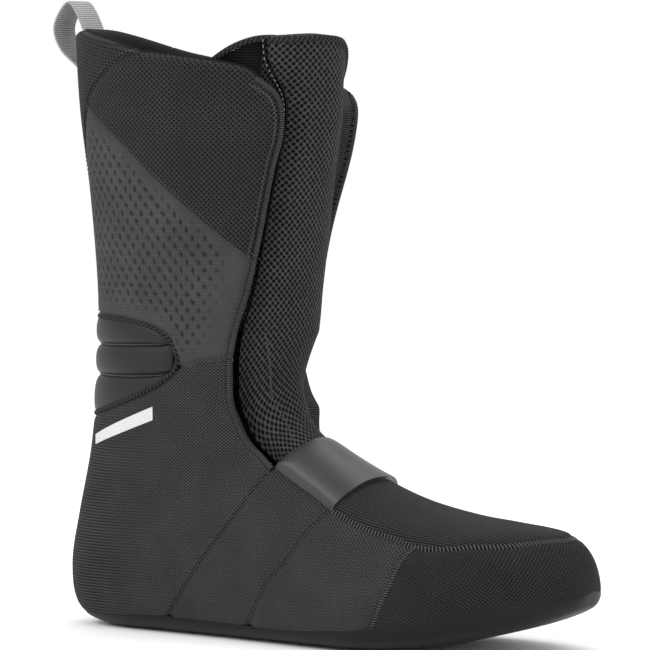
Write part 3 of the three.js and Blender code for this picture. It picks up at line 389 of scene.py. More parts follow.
def linear(hex_colour: str) -> tuple[float, float, float, float]:
    """An sRGB hex colour as linear values.

    Args:
        hex_colour: the colour as #rrggbb.

    Returns:
        Red, green, blue and an alpha of 1.
    """
    parts = [int(hex_colour[k:k + 2], 16) / 255 for k in (1, 3, 5)]
    values = [c / 12.92 if c <= 0.04045 else ((c + 0.055) / 1.055) ** 2.4 for c in parts]
    return (*values, 1.0)


def add_node(tree: bpy.types.NodeTree, kind: str, inputs: dict | None = None,
             **settings: object) -> bpy.types.Node:
    """Adds a node.

    Args:
        tree: the material's node tree.
        kind: the node's type name.
        inputs: a value or a socket to link, for each input by name or number.
        settings: the node's own settings.

    Returns:
        The node.
    """
    node = tree.nodes.new(kind)
    for name, value in settings.items():
        setattr(node, name, value)
    for key, value in (inputs or {}).items():
        if isinstance(value, bpy.types.NodeSocket):
            tree.links.new(value, node.inputs[key])
        else:
            node.inputs[key].default_value = value
    return node


class Pattern(Enum):
    """How a cloth's surface is made."""

    HOLES = "mesh with staggered holes"
    RIBS = "fine parallel ribs"
    GRAIN = "irregular grain"


@dataclass(frozen=True)
class Finish:
    """A surface: its two colours, its pattern in real millimetres, and how it takes light."""

    name: str
    slot: str
    base: str
    deep: str
    pattern: Pattern = Pattern.GRAIN
    pitch_mm: tuple[float, float] = (1.0, 1.0)
    turn: float = 0.0
    hole: float = 0.3
    relief_mm: float = 0.3
    roughness: float = 0.85
    specular: float = 0.12
    sheen: float = 0.0
    mottle: float = 0.14
    # colour of the painted shade in pressed dimples, if any
    dimple_with_painted_shade: str = ""
    ribbed_heel: bool = False

    @cache
    def material(self) -> bpy.types.Material:
        """The material, made at its first use.

        Returns:
            The same material at every call.
        """
        made = bpy.data.materials.new(self.name)
        made.use_nodes = True
        tree = made.node_tree
        tree.nodes.clear()
        uv = add_node(tree, "ShaderNodeTexCoord").outputs["UV"]
        height = self._height(tree, uv)
        colour = add_node(tree, "ShaderNodeMix", {0: height, 6: linear(self.deep), 7: linear(self.base)},
                          data_type="RGBA").outputs[2]
        colour = self._mottled(tree, uv, colour)
        # painted shade: points pressed into dimples are darkened towards the dimple colour, for the shade in
        # the recess
        if self.dimple_with_painted_shade:
            pressed = add_node(tree, "ShaderNodeAttribute", attribute_name="dimple_with_painted_shade").outputs["Fac"]
            colour = add_node(tree, "ShaderNodeMix", {0: pressed, 6: colour, 7: linear(self.dimple_with_painted_shade)},
                              data_type="RGBA").outputs[2]
        bump = add_node(tree, "ShaderNodeBump", {"Height": height, "Strength": 1.0,
                                                 "Distance": self.relief_mm * MM})
        shader = add_node(tree, "ShaderNodeBsdfPrincipled",
                          {"Base Color": colour, "Normal": bump.outputs[0],
                           "Roughness": self.roughness, "Specular IOR Level": self.specular,
                           "Sheen Weight": self.sheen, "Sheen Roughness": 0.5})
        add_node(tree, "ShaderNodeOutputMaterial", {"Surface": shader.outputs[0]})
        return made

    def _mottled(self, tree: bpy.types.NodeTree, uv: bpy.types.NodeSocket,
                 colour: bpy.types.NodeSocket) -> bpy.types.NodeSocket:
        """Uneven dye and yarn: the colour, lighter and darker from place to place.

        Args:
            tree: the material's node tree.
            uv: the cloth's millimetres.
            colour: the even colour.

        Returns:
            The uneven colour.
        """
        yarn = add_node(tree, "ShaderNodeTexNoise", {"Vector": uv, "Scale": 1.1, "Detail": 3.0},
                        noise_dimensions="2D").outputs["Fac"]
        wear = add_node(tree, "ShaderNodeTexNoise", {"Vector": uv, "Scale": 0.05, "Detail": 2.0},
                        noise_dimensions="2D").outputs["Fac"]
        both = add_node(tree, "ShaderNodeMath", {0: yarn, 1: wear}, operation="ADD").outputs[0]
        gain = add_node(tree, "ShaderNodeMapRange",
                        {"Value": both, "From Min": 0.7, "From Max": 1.3, "To Min": 1 - self.mottle,
                         "To Max": 1 + self.mottle}).outputs[0]
        return add_node(tree, "ShaderNodeVectorMath", {0: colour, 1: gain}, operation="MULTIPLY").outputs[0]

    def _height(self, tree: bpy.types.NodeTree, uv: bpy.types.NodeSocket) -> bpy.types.NodeSocket:
        """The pattern from 0, deepest, to 1, highest.

        Args:
            tree: the material's node tree.
            uv: the cloth's millimetres.

        Returns:
            The height, which also mixes the two colours.
        """
        if self.pattern is Pattern.HOLES:
            # a square grid turned by an eighth of a turn has its holes staggered
            scale = [math.sqrt(2) / p for p in self.pitch_mm]
            laid = add_node(tree, "ShaderNodeMapping", {"Vector": uv, "Rotation": (0, 0, self.turn)})
            grid = add_node(tree, "ShaderNodeMapping", {"Vector": laid.outputs[0], "Scale": (*scale, 1),
                                                        "Rotation": (0, 0, math.pi / 4)})
            cell = add_node(tree, "ShaderNodeTexVoronoi", {"Vector": grid.outputs[0], "Scale": 1.0,
                                                           "Randomness": 0.12}, voronoi_dimensions="2D")
            holes = add_node(tree, "ShaderNodeMapRange",
                             {"Value": cell.outputs["Distance"], "From Min": self.hole * 0.55,
                              "From Max": self.hole * 1.35}, interpolation_type="SMOOTHSTEP").outputs[0]
            if not self.ribbed_heel:
                return holes
            # the panel is knitted with level ribs round the heel and open cells further forward
            ribs = add_node(tree, "ShaderNodeTexWave", {"Vector": uv, "Scale": 1 / (HEEL_RIB_MM * math.pi),
                                                        "Distortion": 0.4}, bands_direction="Y")
            forward = add_node(tree, "ShaderNodeSeparateXYZ", {0: uv}).outputs["X"]
            share = add_node(tree, "ShaderNodeMapRange",
                             {"Value": forward, "From Min": HEEL_RIBS_END_MM[0],
                              "From Max": HEEL_RIBS_END_MM[1], "To Min": 0.15, "To Max": 0.85}).outputs[0]
            return add_node(tree, "ShaderNodeMix", {0: share, 2: ribs.outputs["Fac"], 3: holes}).outputs[0]
        if self.pattern is Pattern.RIBS:
            laid = add_node(tree, "ShaderNodeMapping", {"Vector": uv, "Rotation": (0, 0, self.turn)})
            wave = add_node(tree, "ShaderNodeTexWave",
                            {"Vector": laid.outputs[0], "Scale": 1 / (self.pitch_mm[0] * math.pi),
                             "Distortion": 0.6, "Detail": 2.0, "Detail Scale": 3.0},
                            wave_type="BANDS", bands_direction="Y")
            return wave.outputs["Fac"]
        return add_node(tree, "ShaderNodeTexNoise", {"Vector": uv, "Scale": 1 / self.pitch_mm[0],
                                                     "Detail": 4.0, "Roughness": 0.6},
                        noise_dimensions="2D").outputs["Fac"]


HEEL_RIB_MM = 1.5
HEEL_RIBS_END_MM = (-105.0, -62.0)  # where the heel's ribs give way to open cells

# Warp-knitted polyester sandwich mesh: matt dark yarn with small darker holes.
COARSE_MESH = Finish("sandwich_mesh_cloth", "coarse_mesh", "#2a2a2a", "#030303", Pattern.HOLES, (2.4, 2.5),
                     0.0, 0.29, 0.5, 0.9, sheen=0.02)
SPACER_MESH = Finish("spacer_mesh_cloth", "spacer_mesh", "#3c3c3c", "#010101", Pattern.HOLES, (3.0, 3.4),
                     0.0, 0.38, 0.8, 0.88, sheen=0.02)
# Air mesh laminated to foam: close small cells, so it reads as nearly even dark grey.
QUARTER_MESH = Finish("quarter_mesh_cloth", "quarter_mesh", "#3a3a3a", "#080808", Pattern.HOLES, (1.8, 1.6),
                      0.0, 0.33, 0.35, 0.88, sheen=0.02, ribbed_heel=True)
TOE_MESH = Finish("toe_mesh_cloth", "quarter_mesh", "#272727", "#040404", Pattern.HOLES, (2.1, 1.9),
                  0.0, 0.33, 0.35, 0.86, sheen=0.02)
# Brushed polyester jersey pressed with dimples: lighter and softer than the meshes; the dimples get a painted
# shade (#141414) in their colour.
JERSEY = Finish("pressed_jersey_cloth", "dimpled_jersey", "#444444", "#303030", Pattern.RIBS, (0.9, 0.9),
                0.0, 0.3, 0.12, 0.92, sheen=0.02, dimple_with_painted_shade="#141414")
# Elastic rib knit: fine raised wales with dark valleys.
STRETCH_KNIT = Finish("rib_knit_cloth", "stretch_knit", "#333333", "#060606", Pattern.RIBS, (1.4, 1.4),
                      math.pi / 2, 0.3, 0.35, 0.85, sheen=0.02)
WING_KNIT = replace(STRETCH_KNIT, name="wing_knit_cloth", turn=0.0, base="#1a1a1a", deep="#040404")
SPINE_MESH = replace(COARSE_MESH, name="spine_mesh_cloth", slot="stretch_knit", turn=0.6)
# Polyurethane-coated leatherette: smooth, with a low broad highlight.
LEATHERETTE = Finish("coated_leatherette", "leatherette", "#1c1c1c", "#151515", pitch_mm=(0.8, 0.8),
                     relief_mm=0.04, roughness=0.5, specular=0.25, mottle=0.08)
# Satin-woven elastic: smooth, with a wide soft sheen.
SATIN = Finish("satin_elastic", "satin_band", "#343434", "#282828", Pattern.RIBS, (0.9, 0.9),
               0.0, 0.3, 0.04, 0.4, specular=0.4, mottle=0.08)
# Rubber dip coat: nearly black and slightly shiny.
SOLE_COAT = Finish("rubber_dip_coat", "sole_coat", "#0c0c0c", "#050505", pitch_mm=(1.2, 1.2),
                   relief_mm=0.08, roughness=0.45, specular=0.2, mottle=0.1)
# Pressed cellulose board: dry, brownish grey and fibrous.
BOARD = Finish("pressed_fibre_board", "board_fibre", "#4a4741", "#2c2a26", pitch_mm=(0.9, 0.9), relief_mm=0.1)
# Tufted polyester cover on the footbed.
BED_CLOTH = Finish("footbed_cloth", "bed_fabric", "#3c3c3c", "#1a1a1a", Pattern.HOLES, (2.0, 2.0),
                   0.0, 0.24, 0.25, 0.92, sheen=0.02)
# Cross-linked EVA foam: fine closed cells, fully matt.
FOAM = Finish("closed_cell_foam", "eva_foam", "#3f4042", "#26272a", pitch_mm=(0.7, 0.7),
              relief_mm=0.15, roughness=0.95)
# Brushed polyester lining: a soft nap that catches light at its edges.
LINING_CLOTH = Finish("brushed_lining_cloth", "lining_fabric", "#262626", "#111111", pitch_mm=(0.6, 0.6),
                      relief_mm=0.22, roughness=0.95, sheen=0.02)
# Knitted polyester edge tape, folded over the raw edge.
TAPE = Finish("knitted_edge_tape", "binding_tape", "#454545", "#0e0e0e", Pattern.RIBS, (1.1, 1.1),
              0.0, 0.3, 0.25, 0.8, sheen=0.02)
# Twisted cord tape on the tongue's top edge: slanting dark turns.
ROPE_TAPE = replace(TAPE, name="rope_edge_tape", turn=0.7, pitch_mm=(1.8, 1.8), relief_mm=0.6, base="#333333")
# Woven polyester webbing: light grey cross ribs.
WEBBING = Finish("ribbed_webbing", "webbing", "#b4b4b4", "#777777", Pattern.RIBS, (1.2, 1.2),
                 0.0, 0.3, 0.25, 0.8, mottle=0.05)
# Heat-transfer film: flat, even and matt.
PRINT = Finish("light_transfer_film", "light_print", "#c9c9c9", "#bcbcbc", pitch_mm=(1.5, 1.5),
               relief_mm=0.04, roughness=0.6, mottle=0.03)
# Bonded polyester thread, a little shinier than the cloth.
THREAD = Finish("bonded_thread", "binding_tape", "#5c5c5c", "#242424", pitch_mm=(0.4, 0.4),
                relief_mm=0.1, roughness=0.7)
LIGHT_THREAD = replace(THREAD, name="light_thread", base="#8c8c8c", deep="#4c4c4c")

# ---- Motion --------------------------------------------------------------------------------


@dataclass(frozen=True)
class Motion:
    """The body that a piece rides on, or the two that it would bend between."""

    body: str
    towards: str | None = None
    start: tuple[float, float, float] = (0, 0, 0)
    end: tuple[float, float, float] = (0, 0, 1)

    def give(self, piece: bpy.types.Object) -> None:
        """Attaches the piece to its body; a piece between two bodies only has its place baked into its mesh
        and is not bent.

        Args:
            piece: a finished piece.
        """
        if self.towards is None:
            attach(piece, self.body)
        else:
            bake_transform(piece)


def joint_place(name: str) -> Vector:
    """Where a joint's axis lies, in the row frame."""
    return Vector(next(j["pos_m"] for j in frame["joints"] if j["name"] == name))


ANKLE = joint_place("ankle_flex")
SHAFT_BEND_RISE = 0.032  # height over which the shaft's fabric would take up the ankle's flex; the fabric is not bent here
WITH_FOOT = Motion("foot")
WITH_SHAFT = Motion("foot", "shaft", (ANKLE.x, 0, ANKLE.z), (ANKLE.x, 0, ANKLE.z + SHAFT_BEND_RISE))
TONGUE_BEND_RISE = 0.026
TONGUE_HINGE = joint_place("tongue_fold")
ROOT_HINGE = joint_place("tongue_root_flex")
WITH_TONGUE = Motion("tongue_root", "tongue", tuple(TONGUE_HINGE),
                     (TONGUE_HINGE.x, 0, TONGUE_HINGE.z + TONGUE_BEND_RISE))
WITH_ROOT = Motion("foot", "tongue_root", tuple(ROOT_HINGE),
                   (ROOT_HINGE.x, 0, ROOT_HINGE.z + TONGUE_BEND_RISE))


def fan_motion(rib: str, low: float, high: float, low_share: float) -> Motion:
    """The motion of a rib, set so that its edges would meet its neighbours' as the ribs fan out; the rib is
    not bent here.

    Args:
        rib: the rib's body.
        low: height of its lower edge.
        high: height of its upper edge, which turns by the whole of the rib's angle.
        low_share: share of that angle by which its lower edge turns.

    Returns:
        The motion.
    """
    fine = np.linspace(0, 1, 401)
    t = float(np.interp(low_share, fine * fine * (3 - 2 * fine), fine))
    start = high - (high - low) / (1 - t)
    return Motion("foot", rib, (ANKLE.x, 0, start), (ANKLE.x, 0, high))


# ---- Cloth directions ---------------------------------------------------------------------

SHAFT_GIRTH_MM = 175.0  # half of the shaft's girth, for the run of its cloth
HEEL_CENTRE_X = -0.095
HEEL_RADIUS = 0.036


def shaft_cloth(places: np.ndarray, points: np.ndarray) -> np.ndarray:
    """Cloth millimetres on the shaft: round it and up it, running on from piece to piece."""
    return np.stack([places[..., 1] * SHAFT_GIRTH_MM, points[..., 2] / MM], axis=-1)


def tongue_cloth(places: np.ndarray, points: np.ndarray) -> np.ndarray:
    """Cloth millimetres on the tongue: across it and along its middle.

    Args:
        places: [u, w] places.
        points: their points on the last.

    Returns:
        Across and along, in millimetres.
    """
    middle = Seam(np.stack([np.linspace(7, Last.TOP, 400), np.full(400, 0.1)], axis=-1))
    run = np.interp(places[..., 0], middle.places[:, 0], middle.run)
    return np.stack([places[..., 1] * SHAFT_GIRTH_MM, run / MM], axis=-1)


def wall_cloth(places: np.ndarray, points: np.ndarray) -> np.ndarray:
    """Cloth millimetres on the foot's walls: level and upright, unrolled round the heel.

    Args:
        places: [u, w] places.
        points: their points on the last.

    Returns:
        Level and upright, in millimetres.
    """
    x, y, z = (points[..., k] for k in range(3))
    turn = np.arctan2(np.maximum(HEEL_CENTRE_X - x, 0), np.abs(y))
    return np.stack([np.where(x < HEEL_CENTRE_X, HEEL_CENTRE_X - HEEL_RADIUS * turn, x), z], axis=-1) / MM


# ---- Making pieces -------------------------------------------------------------------------


class Edge(Enum):
    """How a sheet ends."""

    SEAM = "dips into a sewn seam"
    ROLL = "rolls round the laminate's edge"
    OPEN = "runs on flat under or into its neighbour"
    BOUND = "is pressed down beside its edge tape"


@dataclass
class Region:
    """A sheet's outline: four lines; low and high run left to right, left and right run up."""

    low: Seam
    high: Seam
    left: Seam
    right: Seam

    def mirrored(self) -> "Region":
        """The same outline on the other side of the foot."""
        return Region(*(s.mirrored() for s in (self.low, self.high, self.left, self.right)))

    def places(self, s: np.ndarray, t: np.ndarray) -> np.ndarray:
        """Places inside the outline, a row for each t and a column for each s.

        Args:
            s: shares from left to right.
            t: shares from low to high.

        Returns:
            The [u, w] places.
        """
        low, high, left, right = self.low(s)[None], self.high(s)[None], self.left(t)[:, None], \
            self.right(t)[:, None]
        s, t = s[None, :, None], t[:, None, None]
        corners = low[:, :1] * (1 - s) * (1 - t) + low[:, -1:] * s * (1 - t) \
            + high[:, :1] * (1 - s) * t + high[:, -1:] * s * t
        return low * (1 - t) + high * t + left * (1 - s) + right * s - corners


def shares(length: float, cell: float, crowd: float = 0.55) -> np.ndarray:
    """Shares from 0 to 1 for a length, closer together near both ends."""
    x = np.linspace(0, 1, max(6, math.ceil(length / cell)) + 1)
    return (1 - crowd) * x + crowd * x * x * (3 - 2 * x)


@dataclass
class Patch:
    """A grid of surface places with its distances from the four edges."""

    places: np.ndarray
    points: np.ndarray = field(init=False)
    normals: np.ndarray = field(init=False)

    def __post_init__(self) -> None:
        """Looks the places up on the last."""
        self.points, self.normals = LAST.at(self.places)

    @staticmethod
    def over(region: Region, cell: float = CELL, inset: float = 0.0) -> "Patch":
        """A patch over an outline; inset is the share of it left out at each edge.

        Args:
            region: the outline.
            cell: the mesh size.
            inset: the share of it left out at each edge.

        Returns:
            The patch.
        """
        across = max(region.low.length, region.high.length)
        up = max(region.left.length, region.right.length)
        s, t = shares(across, cell), shares(up, cell)
        return Patch(region.places(inset + (1 - 2 * inset) * s, inset + (1 - 2 * inset) * t))

    def runs(self) -> tuple[np.ndarray, ...]:
        """Distances of each point from the left, right, low and high edge.

        Returns:
            The four distances, in that order.
        """
        rows = np.linalg.norm(np.diff(self.points, axis=1), axis=-1)
        left = np.pad(np.cumsum(rows, axis=1), ((0, 0), (1, 0)))
        columns = np.linalg.norm(np.diff(self.points, axis=0), axis=-1)
        low = np.pad(np.cumsum(columns, axis=0), ((1, 0), (0, 0)))
        return left, left[:, -1:] - left, low, low[-1:] - low


@dataclass(frozen=True)
class Sheet:
    """How a sheet is cut: its depth, thickness, edges (left, right, low, high) and fullness."""

    depth: float = 0.0
    thickness: float = SKIN
    edges: tuple[Edge, Edge, Edge, Edge] = (Edge.SEAM,) * 4
    total: float = SHAFT_TOTAL
    inner: bool = False
    puff: float = 0.0
    cloth: Callable[[np.ndarray, np.ndarray], np.ndarray] | None = None

    def depths(self, patch: Patch) -> np.ndarray:
        """Depth of the outer face under the last at each point of a patch.

        Args:
            patch: the places.

        Returns:
            The depths.
        """
        added = np.zeros(patch.points.shape[:2])
        nearest = np.full(added.shape, 1.0)
        half = self.total / 2
        for edge, run in zip(self.edges, patch.runs()):
            if edge is Edge.OPEN:
                continue
            nearest = np.minimum(nearest, run)
            if edge is Edge.SEAM:
                added = np.maximum(added, SEAM_SINK * np.exp(-((run / SEAM_REACH) ** 2)))
            elif edge is Edge.BOUND:
                pressed = np.where(run < TAPE_WIDTH, 1.0, np.exp(-(((run - TAPE_WIDTH) / (1.3 * MM)) ** 2)))
                added = np.maximum(added, 1.1 * MM * pressed)
            else:
                short = 1 - np.clip(run / half, 0, 1)
                added = np.maximum(added, (half - self.thickness / 2) * (1 - np.sqrt(1 - short**2)))
        fullness = self.puff * (1 - np.exp(-nearest / (6 * MM)))
        return self.depth - fullness + (-added if self.inner else added)


def select_only(piece: bpy.types.Object) -> None:
    """Selects one object and makes it active.

    Args:
        piece: the object.
    """
    bpy.ops.object.select_all(action="DESELECT")
    piece.select_set(True)
    bpy.context.view_layer.objects.active = piece


def apply_modifier(piece: bpy.types.Object, kind: str, **settings: object) -> None:
    """Adds a modifier to a piece and applies it.

    Args:
        piece: the object.
        kind: the modifier's type name.
        settings: its settings.
    """
    select_only(piece)
    modifier = piece.modifiers.new(kind.title(), kind)
    for name, value in settings.items():
        setattr(modifier, name, value)
    bpy.ops.object.modifier_apply(modifier=modifier.name)


def finish_piece(piece: bpy.types.Object, name: str, finish: Finish, motion: Motion,
                 nodes: Sequence[str] = (), fill: float | None = None) -> bpy.types.Object:
    """Names and dresses a piece, hides the CAD nodes that it stands for, and gives it its motion.

    Args:
        piece: the object.
        name: its name.
        finish: its surface.
        motion: how it moves.
        nodes: the CAD nodes that it stands for.
        fill: how full it is, if it is padded; not used.

    Returns:
        The piece.
    """
    piece.name = name
    piece.data.name = name
    piece.data.materials.clear()
    piece.data.materials.append(finish.material())
    select_only(piece)
    bpy.ops.object.shade_smooth_by_angle(angle=math.radians(50))
    if nodes:
        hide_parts(*nodes)
    motion.give(piece)
    LOG.info("%s: %d faces", name, len(piece.data.polygons))
    return piece


def drape(points: np.ndarray, outward: np.ndarray, thickness: float,
          cloth: np.ndarray | None = None) -> bpy.types.Object:
    """Lays a grid primitive on points and gives it its thickness.

    Args:
        points: rows and columns of outer points.
        outward: the outward direction at each.
        thickness: how thick the sheet is, inwards.
        cloth: the cloth's own millimetres at each, if it doesn't follow the grid.

    Returns:
        The piece, with its UV map in millimetres of cloth.
    """
    rows, columns = points.shape[0] - 1, points.shape[1] - 1
    bpy.ops.object.select_all(action="DESELECT")
    bpy.ops.mesh.primitive_grid_add(x_subdivisions=columns, y_subdivisions=rows, size=1)
    piece = bpy.context.active_object
    mesh = piece.data
    mesh.vertices.foreach_set("co", points.reshape(-1, 3).astype(np.float32).ravel())
    across = np.pad(np.cumsum(np.linalg.norm(np.diff(points, axis=1), axis=-1), axis=1), ((0, 0), (1, 0)))
    up = np.pad(np.cumsum(np.linalg.norm(np.diff(points, axis=0), axis=-1), axis=0), ((1, 0), (0, 0)))
    uv = np.stack([across - across[:, -1:] / 2, up], axis=-1) / MM if cloth is None else cloth
    uv = uv.reshape(-1, 2)
    corner = np.zeros(len(mesh.loops), np.int32)
    mesh.loops.foreach_get("vertex_index", corner)
    mesh.uv_layers[0].data.foreach_set("uv", uv[corner].astype(np.float32).ravel())
    mesh.update()
    facing = np.zeros(len(mesh.vertices) * 3, np.float32)
    mesh.vertices.foreach_get("normal", facing)
    if np.sum(facing.reshape(-1, 3) * outward.reshape(-1, 3)) < 0:
        mesh.flip_normals()
    apply_modifier(piece, "SOLIDIFY", thickness=thickness, offset=-1.0)
    return piece


def lay(name: str, patch: Patch, sheet: Sheet, finish: Finish, motion: Motion,
        nodes: Sequence[str] = (), fill: float | None = None,
        extra: np.ndarray | None = None) -> bpy.types.Object:
    """Makes a sheet over a patch.

    Args:
        name: the piece's name.
        patch: where it lies.
        sheet: how it is cut.
        finish: its surface.
        motion: how it moves.
        nodes: the CAD nodes that it stands for.
        fill: how full it is, if it is padded.
        extra: further depth at each point.

    Returns:
        The piece.
    """
    depth = sheet.depths(patch) + (0 if extra is None else extra)
    points = patch.points - patch.normals * depth[..., None]
    points[..., 2] = np.maximum(points[..., 2], 0)
    cloth = None if sheet.cloth is None else sheet.cloth(patch.places, patch.points)
    piece = drape(points, patch.normals, sheet.thickness, cloth)
    return finish_piece(piece, name, finish, motion, nodes, fill)


def solid_of(name: str, vertices: np.ndarray, faces: list[tuple[int, ...]],
             uv: np.ndarray) -> bpy.types.Object:
    """An object from vertices, faces and one UV place in millimetres for each vertex.

    Args:
        name: the object's name.
        vertices: a row for each vertex.
        faces: the vertices of each face.
        uv: a UV place for each vertex.

    Returns:
        The object.
    """
    mesh = bpy.data.meshes.new(name)
    mesh.from_pydata(vertices.tolist(), [], faces)
    layer = mesh.uv_layers.new(name="UVMap")
    corner = np.zeros(len(mesh.loops), np.int32)
    mesh.loops.foreach_get("vertex_index", corner)
    layer.data.foreach_set("uv", uv[corner].astype(np.float32).ravel())
    piece = bpy.data.objects.new(name, mesh)
    bpy.context.scene.collection.objects.link(piece)
    return piece


def sweep(centres: np.ndarray, side: np.ndarray, out: np.ndarray, width: float | np.ndarray,
          height: float | np.ndarray, power: float = 2.6, around: int = 16) -> bpy.types.Object:
    """A closed band of rounded section along a path.

    Args:
        centres: the path.
        side: direction across the band's width at each point.
        out: direction across its height at each point.
        width: its whole width, or one for each point.
        height: its whole height, or one for each point.
        power: how square the section is; 2 is an ellipse.
        around: points round the section.

    Returns:
        The object.
    """
    angle = np.linspace(0, 2 * math.pi, around, endpoint=False)
    a = np.sign(np.cos(angle)) * np.abs(np.cos(angle)) ** (2 / power) / 2
    b = np.sign(np.sin(angle)) * np.abs(np.sin(angle)) ** (2 / power) / 2
    width, height = (np.broadcast_to(v, len(centres))[:, None, None] for v in (width, height))
    rings = (centres[:, None] + side[:, None] * a[None, :, None] * width
             + out[:, None] * b[None, :, None] * height)
    count = len(centres)
    faces = [(k * around + j, k * around + (j + 1) % around, (k + 1) * around + (j + 1) % around,
              (k + 1) * around + j) for k in range(count - 1) for j in range(around)]
    faces += [tuple(range(around))[::-1], tuple((count - 1) * around + j for j in range(around))]
    run = np.concatenate([[0], np.cumsum(np.linalg.norm(np.diff(centres, axis=0), axis=-1))]) / MM
    girth = a * float(np.mean(width)) / MM
    uv = np.stack(np.broadcast_arrays(girth[None], run[:, None]), axis=-1).reshape(-1, 2)
    piece = solid_of("band", rings.reshape(-1, 3), faces, uv)
    select_only(piece)
    bpy.ops.object.mode_set(mode="EDIT")
    bpy.ops.mesh.select_all(action="SELECT")
    bpy.ops.mesh.normals_make_consistent(inside=False)
    bpy.ops.object.mode_set(mode="OBJECT")
    return piece


def edge_frame(seam: Seam, sign: float, count: int) -> tuple[np.ndarray, ...]:
    """Points, inward directions, tangents and normals along a seam.

    Args:
        seam: the line.
        sign: which side of it is inwards.
        count: how many places.

    Returns:
        The four, each with a row for every place.
    """
    t = np.linspace(0, 1, count)
    here, normal = LAST.at(seam(t))
    ahead, _ = LAST.at(seam(np.minimum(t + 0.01, 1)))
    behind, _ = LAST.at(seam(np.maximum(t - 0.01, 0)))
    tangent = unit(ahead - behind)
    return here, unit(np.cross(tangent, normal)) * sign, tangent, normal


def binding(name: str, seam: Seam, sign: float, total: float, motion: Motion, node: str | None,
            width: float = TAPE_WIDTH, sink: np.ndarray | float = 0.0, finish: Finish = TAPE) -> None:
    """Edge tape folded round a laminate's edge.

    Args:
        name: the piece's name.
        seam: the edge.
        sign: which side of it is inwards.
        total: the laminate's thickness.
        motion: how it moves.
        node: the CAD node that it stands for, if any.
        width: how far it reaches in from the edge.
        sink: further depth, one or evenly along the seam.
        finish: its surface.
    """
    count = max(12, int(seam.length / (2.2 * MM)))
    here, inward, _, normal = edge_frame(seam, sign, count)
    proud = 0.7 * MM
    depth = total / 2 + (np.interp(np.linspace(0, 1, count), np.linspace(0, 1, np.size(sink)), sink)
                         if np.size(sink) > 1 else sink)
    centres = here + inward * (width / 2) - normal * np.broadcast_to(depth, count)[:, None]
    piece = sweep(centres, inward, normal, width, total + 2 * proud, 3.4, 20)
    finish_piece(piece, name, finish, motion, [node] if node else [])


class Stitch(Enum):
    """How a row of stitches lies."""

    RUN = "one after the other"
    WHIP = "across the seam"
    ZIGZAG = "from side to side"


@dataclass(frozen=True)
class Stitching:
    """A row of stitches: their kind, size, spacing and distance inside the seam."""

    kind: Stitch = Stitch.RUN
    length: float = 1.8 * MM
    pitch: float = 2.5 * MM
    width: float = 0.5 * MM
    offset: float = 0.0
    lift: float = 0.0
    finish: Finish = THREAD

    def sew(self, name: str, seam: Seam, sign: float, motion: Motion, rise: np.ndarray | None = None) -> None:
        """Sews the row along a seam.

        Args:
            name: the piece's name.
            seam: the line it follows.
            sign: which side of the line is inwards.
            motion: how the row moves.
            rise: further lift, evenly along the seam.
        """
        count = max(3, round(seam.length / self.pitch))
        here, inward, tangent, normal = edge_frame(seam, sign, count)
        lift = np.full(count, self.lift)
        if rise is not None:
            lift += np.interp(np.linspace(0, 1, count), np.linspace(0, 1, len(rise)), rise)
        centre = here + inward * self.offset + normal * lift[:, None]
        if self.kind is Stitch.RUN:
            along = tangent
        elif self.kind is Stitch.WHIP:
            along = unit(inward + tangent * 0.35)
        else:
            swing = np.where(np.arange(count) % 2, 1.0, -1.0)[:, None]
            along = unit(tangent + inward * swing)
        beside = unit(np.cross(normal, along))
        bpy.ops.object.select_all(action="DESELECT")
        bpy.ops.mesh.primitive_uv_sphere_add(segments=6, ring_count=5, radius=0.5)
        seed = bpy.context.active_object
        ball = np.array([v.co for v in seed.data.vertices])
        cells = [tuple(p.vertices) for p in seed.data.polygons]
        bpy.data.objects.remove(seed)
        body = (centre[:, None] + along[:, None] * ball[None, :, 2:3] * self.length
                + beside[:, None] * ball[None, :, 0:1] * self.width
                + normal[:, None] * ball[None, :, 1:2] * self.width)
        faces = [tuple(k * len(ball) + v for v in cell) for k in range(count) for cell in cells]
        uv = np.tile(ball[:, [0, 2]] * [self.width, self.length] / MM, (count, 1))
        piece = solid_of(name, body.reshape(-1, 3), faces, uv)
        select_only(piece)
        bpy.ops.object.mode_set(mode="EDIT")
        bpy.ops.mesh.select_all(action="SELECT")
        bpy.ops.mesh.normals_make_consistent(inside=False)
        bpy.ops.object.mode_set(mode="OBJECT")
        finish_piece(piece, name, self.finish, motion)


WHIP = Stitching(Stitch.WHIP, 4.2 * MM, 1.8 * MM, 0.85 * MM, lift=-0.35 * MM)
OVERLOCK = Stitching(Stitch.WHIP, 2.8 * MM, 1.3 * MM, 0.65 * MM, lift=-0.6 * MM)
RUNNING = Stitching(offset=2.2 * MM, length=1.5 * MM, pitch=2.2 * MM, width=0.42 * MM, lift=0.02 * MM)
ZIGZAG = Stitching(Stitch.ZIGZAG, 2.1 * MM, 1.25 * MM, 0.5 * MM, offset=5.0 * MM, lift=0.08 * MM)
VALLEY = Stitching(length=1.0 * MM, pitch=1.9 * MM, width=0.8 * MM, lift=-1.5 * MM, finish=LIGHT_THREAD)

# ---- Sub-assemblies ------------------------------------------------------------------------


@dataclass(frozen=True)
class Side:
    """One side of the boot."""

    label: str
    sign: float

    def seam(self, seam: Seam) -> Seam:
        """A lateral seam, on this side."""
        return seam if self.sign > 0 else seam.mirrored()

    def region(self, region: Region) -> Region:
        """A lateral outline, on this side."""
        return region if self.sign > 0 else region.mirrored()


SIDES = (Side("lateral", 1.0), Side("medial", -1.0))


def flared(patch: Patch, flare: float) -> np.ndarray:
    """Extra depth of a sheet that stands out at its upper front corner by a flare.

    Args:
        patch: where the sheet lies.
        flare: how far the corner stands out.

    Returns:
        The depth, negative outwards.
    """
    left, right, low, high = patch.runs()
    rise = smoothstep(low / np.maximum(low + high, 1e-6), 0.05, 0.6)
    return -flare * rise * (right / np.maximum(left + right, 1e-6)) ** 2


